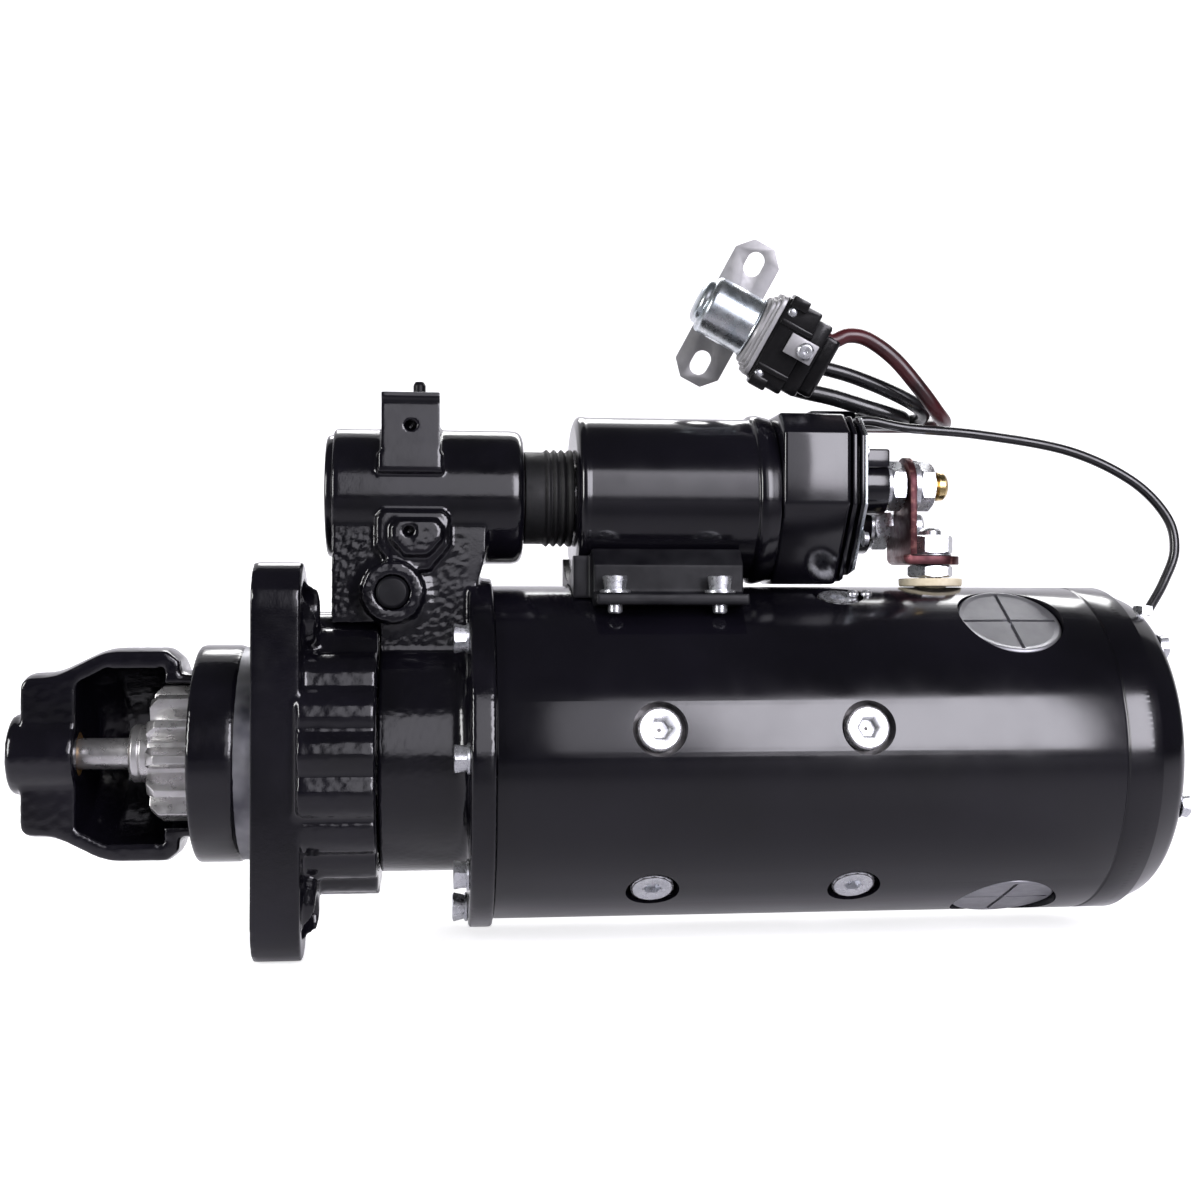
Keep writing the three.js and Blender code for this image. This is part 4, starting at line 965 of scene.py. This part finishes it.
STRAP_LOW = low_of("connector_strap")
STRAP = (STRAP_LOW.x, STRAP_LOW.x + 2.8)
NUT_END = high_of("motor_nut").x - 2.2
piece("motor_terminal", terminal_stud("motor_stud", STRAP[0] - 0.3, NUT_END), ZINC, ["motor_stud"])
battery_terminal = terminal_stud("battery_stud", 278, high_of("battery_stud").x)
piece("battery_terminal", battery_terminal, ZINC, ["battery_stud"])
nut_low = low_of("motor_nut")
piece("terminal_nut", together(
    washer(nut_low.x, nut_low.x + 2.6, 11.4, 6.6, *MOTOR.yz),
    nut(nut_low.x + 2.8, NUT_END, NUT_ACROSS, 6.5, *MOTOR.yz),
), ZINC, ["motor_nut"])
piece("terminal_tip", threaded_stud(NUT_END - 1.5, high_of("motor_stud").x, 6.3, *MOTOR.yz), BRASS)

# ---- saddle

SADDLE_LOW, SADDLE_HIGH = box_of("solenoid_saddle")
FOOT_TOP = low_of("saddle_bolt_1").z + 8


def saddle():
    x0, x1 = centre_of("saddle_bolt_1").x - 8.5, SADDLE_HIGH.x
    web = prism([(-36, 50), (36, 50), (36, 80), (30, 87), (-30, 87), (-36, 80)], x0, x1)
    foot = block((x0, SADDLE_LOW.y, 63.5), (x1, -30, FOOT_TOP))
    front_leg = block((SADDLE_LOW.x, -29, 60), (x0 + 1, 29, 84))
    frame_seat = rod("X", FRAME_R + 0.6, 120, 210, steps=180)
    case_seat = rod("X", 35.7, 120, 210, 0, SOLENOID_Z, 120)
    whole = cut(union(web, foot, front_leg), frame_seat, case_seat)
    return as_cast(whole, 0.8, 3)


piece("saddle_bracket", saddle(), MATT_ENAMEL, ["solenoid_saddle"], sharp=50)
for index in (1, 2):
    node = f"saddle_bolt_{index}"
    bolt = centre_of(node)
    head = bolt_head(FOOT_TOP + 0.3, high_of(node).z, 9, 6.3)
    end = low_of(node).z
    shank = lathe([(end, 0), (end, 2.4), (end + 0.6, 3), (FOOT_TOP, 3), (FOOT_TOP, 0)], 36)
    piece(f"saddle_screw_{index}", shifted(upright(together(head, shank)), bolt.x, bolt.y), ZINC, [node])

# ---- motor connection


def strap():
    """The copper strap: a leg down from the motor stud, a round bend, and a foot to the field stud."""
    half = 12.5
    foot_low, foot_high = STRAP_LOW.z, STRAP_LOW.z + 3.6
    x0, x1 = STRAP
    bend = 3.2
    side = [(x1, MOTOR.z), (x0, MOTOR.z)]
    side += arc(x0 + bend, foot_low + bend, bend, math.pi, 1.5 * math.pi, 8)
    side += [
        (FIELD_STUD_X, foot_low), (FIELD_STUD_X, foot_high), (x1 + 1.2, foot_high), (x1, foot_high + 1.2),
    ]
    body = prism(side, -half, half, "Y")
    skew = cut(
        body,
        block((x0 - 1, -half - 1, foot_high + 14), (x1 + 1, MOTOR.y - half, 130)),
        block((x0 - 1, MOTOR.y + half, foot_high + 14), (x1 + 1, half + 1, 130)),
    )
    leg = prism(rectangle(MOTOR.y - half, MOTOR.y + half, foot_low + 4, MOTOR.z), x0, x1)
    top = rod("X", half, x0, x1, *MOTOR.yz, 64)
    toe = rod("Z", half, foot_low, foot_high, FIELD_STUD_X, 0, 64)
    holes = [rod("X", STUD_HOLE_R, 270, 285, *MOTOR.yz), rod("Z", 5.3, 70, 95, FIELD_STUD_X, 0)]
    return softened(cut(union(skew, leg, top, toe), *holes), 0.35)


piece("copper_strap", strap(), RED_COPPER, ["connector_strap"], sharp=30)

FIELD_LOW, FIELD_HIGH = box_of("field_stud")
field_parts = together(
    threaded_stud(FIELD_LOW.z + 1, FIELD_HIGH.z, 5), nut(75.9, STRAP_LOW.z - 0.3, 18, 4.7),
    lathe([(FIELD_LOW.z, 0), (FIELD_LOW.z, 10), (62.9, 10), (62.9, 0)], 48),
)
piece("field_terminal", shifted(upright(field_parts), x=FIELD_STUD_X), ZINC, ["field_stud"])
low, high = (corner.z for corner in box_of("field_nut"))
field_nut = together(washer(low, low + 0.8, 9.4, 5.3), nut(low + 0.8, high, 18, 5.3))
piece("field_terminal_nut", shifted(upright(field_nut), x=FIELD_STUD_X), ZINC, ["field_nut"])
insulator = turned_ring([
    (63.5, 5.4), (63.5, 6.9), (FRAME_R + 0.2, 6.9), (FRAME_R + 0.3, 13.8, 0.8), (75.4, 14, 0.8), (75.4, 5.4),
], 0.3, 72)
piece("field_insulator_collar", shifted(upright(insulator), x=FIELD_STUD_X), CREAM, ["field_insulator"])

# ---- relay

relay_axis = Vector(named(frame["joints"], "relay_slide")["axis"])
relay_mount = named(frame["record"]["mounts"], "relay_back")
relay_back = Vector(relay_mount["axis"])
relay_up = relay_axis.cross(relay_back)
PLATE_OFF, PLATE_UP = 15.7, 17
relay_centre = (Vector(relay_mount["pos_m"]) - AXIS) / MM - relay_back * PLATE_OFF - relay_up * PLATE_UP
RELAY = Matrix((relay_axis, relay_back, relay_up)).transposed().to_4x4()
RELAY.translation = relay_centre
CAN_R = 13.2
CAN_HALF = 11.7


def relay_piece(name, bm, look, replaces=()):
    """A piece drawn about the relay's own axis, along X."""
    return piece(name, moved(bm, RELAY), look, replaces, sharp=30)


relay_piece("relay_can_shell", turned([
    (-CAN_HALF - 4.3, 0), (-CAN_HALF - 4.2, 7, 3), (-CAN_HALF - 2.6, 10, 2), (-CAN_HALF, 10.4, 0.8),
    (-CAN_HALF, CAN_R - 1.5, 1), (-CAN_HALF + 1.6, CAN_R, 1), (CAN_HALF - 1, CAN_R),
    (CAN_HALF - 0.4, CAN_R + 0.5), (CAN_HALF, CAN_R), (CAN_HALF, CAN_R - 1.2),
    (-CAN_HALF + 2, CAN_R - 1.2), (-CAN_HALF + 2, 0),
], 0.3, 120), BLUE_ZINC, ["relay_can"])


def relay_bracket():
    """A plate across the can's back, with an eight-sided outline and a slot in each ear."""
    outline = [(-11, -28), (-5, -34.5), (5, -34.5), (11, -28), (11, 28), (5, 34.5), (-5, 34.5), (-11, 28)]
    plate = prism(eased(outline, 0.5, closed=True), CAN_R + 0.3, CAN_R + 2.5, "Y")
    slot_r, slot_reach = 4.1, 1.6
    slots = []
    for z in (-24.7, 24.7):
        ends = arc(0, z + slot_reach, slot_r, 0, math.pi, 16)
        ends += arc(0, z - slot_reach, slot_r, math.pi, TURN, 16)
        slots.append(prism(ends, 10, 20, "Y"))
    return softened(cut(plate, *slots), 0.3)


relay_piece("relay_ears", relay_bracket(), EAR_ZINC, ["relay_bracket"])


SEAM = (CAN_HALF + 0.3, CAN_HALF + 6.4)
BASE_START = SEAM[1] + 0.2
FAR_SIDE = 12.6


def relay_seam():
    """The crimped joint between can and base: two square plates with rounded corners, and a bead."""
    def layer(x0, x1, half):
        outline = eased(rectangle(-half, min(half, FAR_SIDE), -half, half), 5, closed=True)
        return softened(prism(outline, x0, x1), 0.4)
    middle = (SEAM[0] + SEAM[1]) / 2
    layers = [layer(middle - 0.4, middle + 1.2, 17), layer(middle + 1, SEAM[1], 19)]
    section = [(SEAM[0], 9), (SEAM[0], 15.4), (middle, 16.2), (middle, 9)]
    joint = union(layer(SEAM[0] + 1.2, middle, 15.5), *layers, turned_ring(section, 1, 96))
    return cut(joint, rod("X", 9, 0, 40), block((0, FAR_SIDE + 0.1, -20), (40, 20, 20)))


def relay_base():
    """A moulding in three steps, with two corner tabs and two ribs on its near side."""
    x0, x1 = BASE_START, BASE_START + 23
    tiers = [
        softened(block((x0, -19, -19.5), (x1 - 7, FAR_SIDE, 19.5)), 1.2),
        softened(block((x1 - 8, -17, -17.5), (x1, FAR_SIDE, 17)), 1.6),
        softened(block((x1 - 1, -12, -15), (x1 + 7, 12, 13.5)), 2.2, 3),
    ]
    tabs = [softened(block((x0 + 1, -20.6, z - 2.6), (x0 + 9, -10, z + 2.6)), 0.9) for z in (-18.6, 18.6)]
    ribs = [softened(block((x0 + 1, -20.4, z - 1.2), (x1 - 7, -17, z + 1.2)), 0.5) for z in (-12, 9)]
    return cut(union(*tiers, *tabs, *ribs), rod("X", 9, 0, x1 - 4))


relay_piece("relay_seam_plate", relay_seam(), EAR_ZINC)
relay_piece("relay_base_moulding", relay_base(), BAKELITE, ["relay_base"])
CLAMP = (34.5, 2.2)
clamp_hole = rod("Y", 1.6, -24, -18, *CLAMP)
clamp_low, clamp_high = (CLAMP[0] - 8.5, -22.3, CLAMP[1] - 4.6), (CLAMP[0] + 4.6, -20.5, CLAMP[1] + 4.6)
relay_piece("relay_clamp", cut(softened(block(clamp_low, clamp_high), 0.4), clamp_hole), EAR_ZINC)
screw = turned([(0, 0), (0, 3.8), (1.4, 3.8), (2.2, 2.8), (2.2, 0.6), (1.2, 0.5), (1.2, 0)], 0.4, 40)
relay_piece("relay_clamp_screw", facing(screw, -90, (CLAMP[0], -22.4, CLAMP[1])), ZINC)
for index, z in enumerate((14, -15.5), 1):
    rivet = turned([(0, 0), (0, 2.2), (0.9, 1.6), (1.2, 0)], 0.3, 32)
    relay_piece(f"relay_rivet_{index}", facing(rivet, -90, (22, -19, z)), ZINC)

# ---- leads, along the curves of the CAD cords

LEAD_END = 262.3
LEADS = {
    "red_lead": (RED_CABLE, 3.3, [
        (244.5, -11, 179), (252, -11, 181.6), (261, -11, 180), (273, -11, 171.5), (285, -10, 158.5),
        (294, -6, 149), (300, 3, 146), (301.5, 14, 146), (297, 26, 147), (285, 33, 147.5),
        (LEAD_END, 33.2, 147.5),
    ]),
    "thin_lead": (BLACK_CABLE, 3.3, [
        (240.5, 2, 170.3), (256, 3, 166.5), (272, 4, 161), (286, 6, 155), (293, 11.5, 151.5),
        (293, 19, 149), (284, 24.6, 147.8), (LEAD_END, 25, 147.5),
    ]),
    "thick_lead": (BLACK_CABLE, 3.8, [
        (234, 7.5, 160.4), (250, 7.5, 157), (264, 7.5, 153), (276, 8.2, 149.8),
        (283.5, 12.8, 148), (276, 17.2, 147.6), (LEAD_END, 17.2, 147.5),
    ]),
    "ground_lead": (BLACK_CABLE, 2.1, [
        (254.2, -14, 143.6), (262, -14, 143.8), (278, -14, 141), (310, -14, 138.6), (350, -15, 132),
        (378, -18, 119), (393.6, -20, 103), (396.4, -22, 88), (391.5, -22, 74), (386, -21, 63.5),
        (383.5, -21, 60),
    ]),
}
for node, (look, r, path) in LEADS.items():
    if node != "ground_lead":
        inside_relay = Vector(path[0]) - relay_axis * 7
        path = [inside_relay, *path, (LEAD_END - 3, *path[-1][1:])]
    piece(node + "_cable", tube(path, r), look, [node], sharp=60)

# ---- shaft, pinion and clutch


def armature_shaft():
    x0, x1 = low_of("armature_shaft").x, high_of("armature_shaft").x
    nose_r, seat_r, r = 6.6, 9, 12
    return turned([
        (x0, 0), (x0, nose_r), (-10, nose_r), (-10, seat_r), (14, seat_r), (14, r), (345, r), (345, seat_r),
        (x1, seat_r), (x1, 0),
    ], 0.6, 72)


piece("shaft", armature_shaft(), STEEL, ["armature_shaft"], "armature")


def pinion():
    """Twelve teeth with curved flanks, chamfered at the leading end."""
    x0, x1 = low_of("pinion").x, high_of("pinion").x
    teeth, outer_r, depth = 12, 28.8, 8.6
    shares = [
        (-0.5, 1.0), (-0.4, 1.0), (-0.34, 0.86), (-0.27, 0.6), (-0.2, 0.34), (-0.13, 0.07), (-0.11, 0.0),
    ]
    profile = shares + [(-share, part) for share, part in reversed(shares)][:-1]
    outline = []
    for tooth in range(teeth):
        for share, part in profile:
            angle = (tooth + share) * TURN / teeth
            r = outer_r - depth * part
            outline.append((r * math.cos(angle), r * math.sin(angle)))
    gear = prism(outline, x0, x1)
    lead_in = lathe([
        (x0 - 1, 24), (x0 - 1, 60), (x1 + 1, 60), (x1 + 1, outer_r), (x0 + 3.6, outer_r), (x0 - 0.1, 25.2),
    ], 72, closed=True)
    bore = rod("X", 9.2, x0 - 1, x1 + 1)
    return softened(cut(gear, lead_in, bore), 0.3, angle=35)


piece("pinion_gear", pinion(), STEEL, ["pinion"], "pinion_set", sharp=30)
ring_low, ring_high = box_of("pinion_ring")
piece("pinion_stop_ring", turned_ring([
    (ring_low.x, 7.6), (ring_low.x, 11), (ring_low.x + 1.3, 12.3), (ring_low.x + 4, 12.3),
    (ring_low.x + 4.4, 11.7), (ring_low.x + 4.8, 12.3), (ring_high.x, 12.3), (ring_high.x, 7.6),
], 0.3, 72), STEEL, ["pinion_ring"], "pinion_set")

clutch_end = high_of("clutch_shell").x
piece("clutch_body", turned_ring([
    (-11, 12.5), (-11, 29), (-9, 31), (27, 31), (30, 27), (30, 18.5), (clutch_end, 18.5), (clutch_end, 12.5),
    (13.4, 12.5),
], 0.6, 96), STEEL, ["clutch_shell"], "drive")


def return_coil():
    """The coil between the plunger and its core, with four turns."""
    low, high = box_of("return_spring")
    wire = 1.2
    coil_r = (high.z - low.z) / 2 - wire
    steps, turns = 64, 4
    points = []
    for i in range(steps + 1):
        angle = turns * TURN * i / steps
        x = low.x + wire + (high.x - low.x - 2 * wire) * i / steps
        points.append((x, coil_r * math.cos(angle), SOLENOID_Z + coil_r * math.sin(angle)))
    return tube(points, wire, 12, 3)


# The coil rides with the plunger, whose end face carries it, and gets a mesh of its own.
coil = piece("return_coil", return_coil(), STEEL, ["return_spring"], "plunger_set", sharp=60)
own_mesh(coil)

# ---- CAD parts that stay, inside the casings

for node, shown in frame["nodes"].items():
    for index, material in enumerate(shown.data.materials):
        slot = material.name.split(".")[0] if material else ""
        if slot in LOOKS:
            shown.data.materials[index] = LOOKS[slot]
    shade_smooth(shown.data, 25)

# ---- stage, camera and light


def sweep():
    """A floor that curves up into a backdrop and looks pale to the camera. Other rays see a painted
    reflection: dark in front, pale near the object, where it also shines a little as painted bounce light.
    """
    floor_z = CAD_BOUNDS[0][2] - 0.0002
    front, bend, bend_r, top, half_width = -4.0, 1.2, 1.0, 4.5, 5
    curve = arc(bend, floor_z + bend_r, bend_r, -math.pi / 2, 0, 16)
    profile = [(front, floor_z), (bend, floor_z), *curve[1:], (bend + bend_r, top)]
    bm = bmesh.new()
    columns = [[bm.verts.new((x, y, z)) for y, z in profile] for x in (-half_width, half_width)]
    for i in range(len(profile) - 1):
        bm.faces.new((columns[0][i], columns[1][i], columns[1][i + 1], columns[0][i + 1])).smooth = True
    mesh = new_mesh("sweep", bm)
    g = Graph("sweep")
    seen = g.add("ShaderNodeLightPath").outputs["Is Camera Ray"]
    depth = g.add("ShaderNodeSeparateXYZ", {"Vector": g.place}).outputs["Y"]
    # Painted reflection: to other rays the floor darkens towards the front, as if a dark room stood there.
    painted_reflection_tone = g.blend(g.spread(depth, -0.5, 0), (0.07, 0.07, 0.075, 1), (0.8, 0.78, 0.84, 1))
    # Painted bounce light: near the object the floor shines for other rays, to brighten the object's
    # underside.
    painted_bounce_glow = g.spread(depth, -0.15, 0.05, 0, 0.4)
    pale = g.blend(g.clouds(900, 2), (0.9, 0.9, 0.91, 1), (0.93, 0.93, 0.935, 1))
    g.feed(g.shader, {
        "Base Color": g.blend(seen, painted_reflection_tone, pale), "Roughness": 0.9,
        "Emission Color": (1, 1, 1, 1), "Emission Strength": g.spread(seen, 0, 1, painted_bounce_glow, 0.66),
    })
    mesh.materials.append(g.material)
    linked("sweep", mesh)


def softbox(name, place, aim, width, height, watts, colour=(1, 1, 1)):
    lamp = bpy.data.lights.new(name, "AREA")
    lamp.shape = "RECTANGLE"
    lamp.size, lamp.size_y = width, height
    lamp.energy = watts
    lamp.color = colour
    holder = linked(name, lamp)
    holder.location = Vector(place)
    holder.rotation_euler = (Vector(aim) - Vector(place)).to_track_quat("-Z", "Y").to_euler()
    return holder


def camera():
    """The view: level, a little left of square on, and a little above the shaft."""
    lens = bpy.data.cameras.new("camera")
    lens.lens, lens.sensor_width = 45, 36
    from_axis = Vector((74.46, -653.4, 64.46))
    upward, sideways, roll = 0.00154, -0.10584, 0.0018946
    turn = Euler((math.radians(90) + upward, 0, sideways)).to_matrix().to_4x4()
    view = linked("camera", lens)
    view.matrix_world = Matrix.Translation(AXIS + from_axis * MM) @ turn @ Matrix.Rotation(roll, 4, "Z")
    bpy.context.scene.camera = view


def world():
    """A dim room for reflections and shade, which the camera itself sees as pale."""
    sky = bpy.data.worlds.new("room")
    sky.use_nodes = True
    nodes, links = sky.node_tree.nodes, sky.node_tree.links
    seen = nodes.new("ShaderNodeLightPath").outputs["Is Camera Ray"]
    level = nodes.new("ShaderNodeMapRange")
    level.inputs["To Min"].default_value = 0.05
    links.new(seen, level.inputs["Value"])
    links.new(level.outputs["Result"], nodes["Background"].inputs["Strength"])
    nodes["Background"].inputs["Color"].default_value = (0.93, 0.94, 0.96, 1)
    bpy.context.scene.world = sky


sweep()
camera()
world()
MIDDLE = (0.15, -0.055, 0.04)
LAVENDER = (0.93, 0.91, 1.0)
softbox("key", (1.07, -1.9, 0.72), (0.65, -0.055, 0.04), 1.11, 1.3, 45, LAVENDER)
softbox("key_left", (0.18, -1.9, 0.72), (0.18, -0.055, 0.04), 0.6, 1.3, 4.6, LAVENDER)
softbox("left", (-1.3, -0.9, 0.5), (0, -0.055, 0), 0.4, 0.9, 16)
softbox("back", (0.45, 1.2, 1.25), MIDDLE, 1.6, 0.45, 16)
softbox("fill", (-0.1, -0.9, 1.9), MIDDLE, 0.8, 0.5, 12).visible_glossy = False
bpy.context.scene.view_settings.view_transform = "Standard"
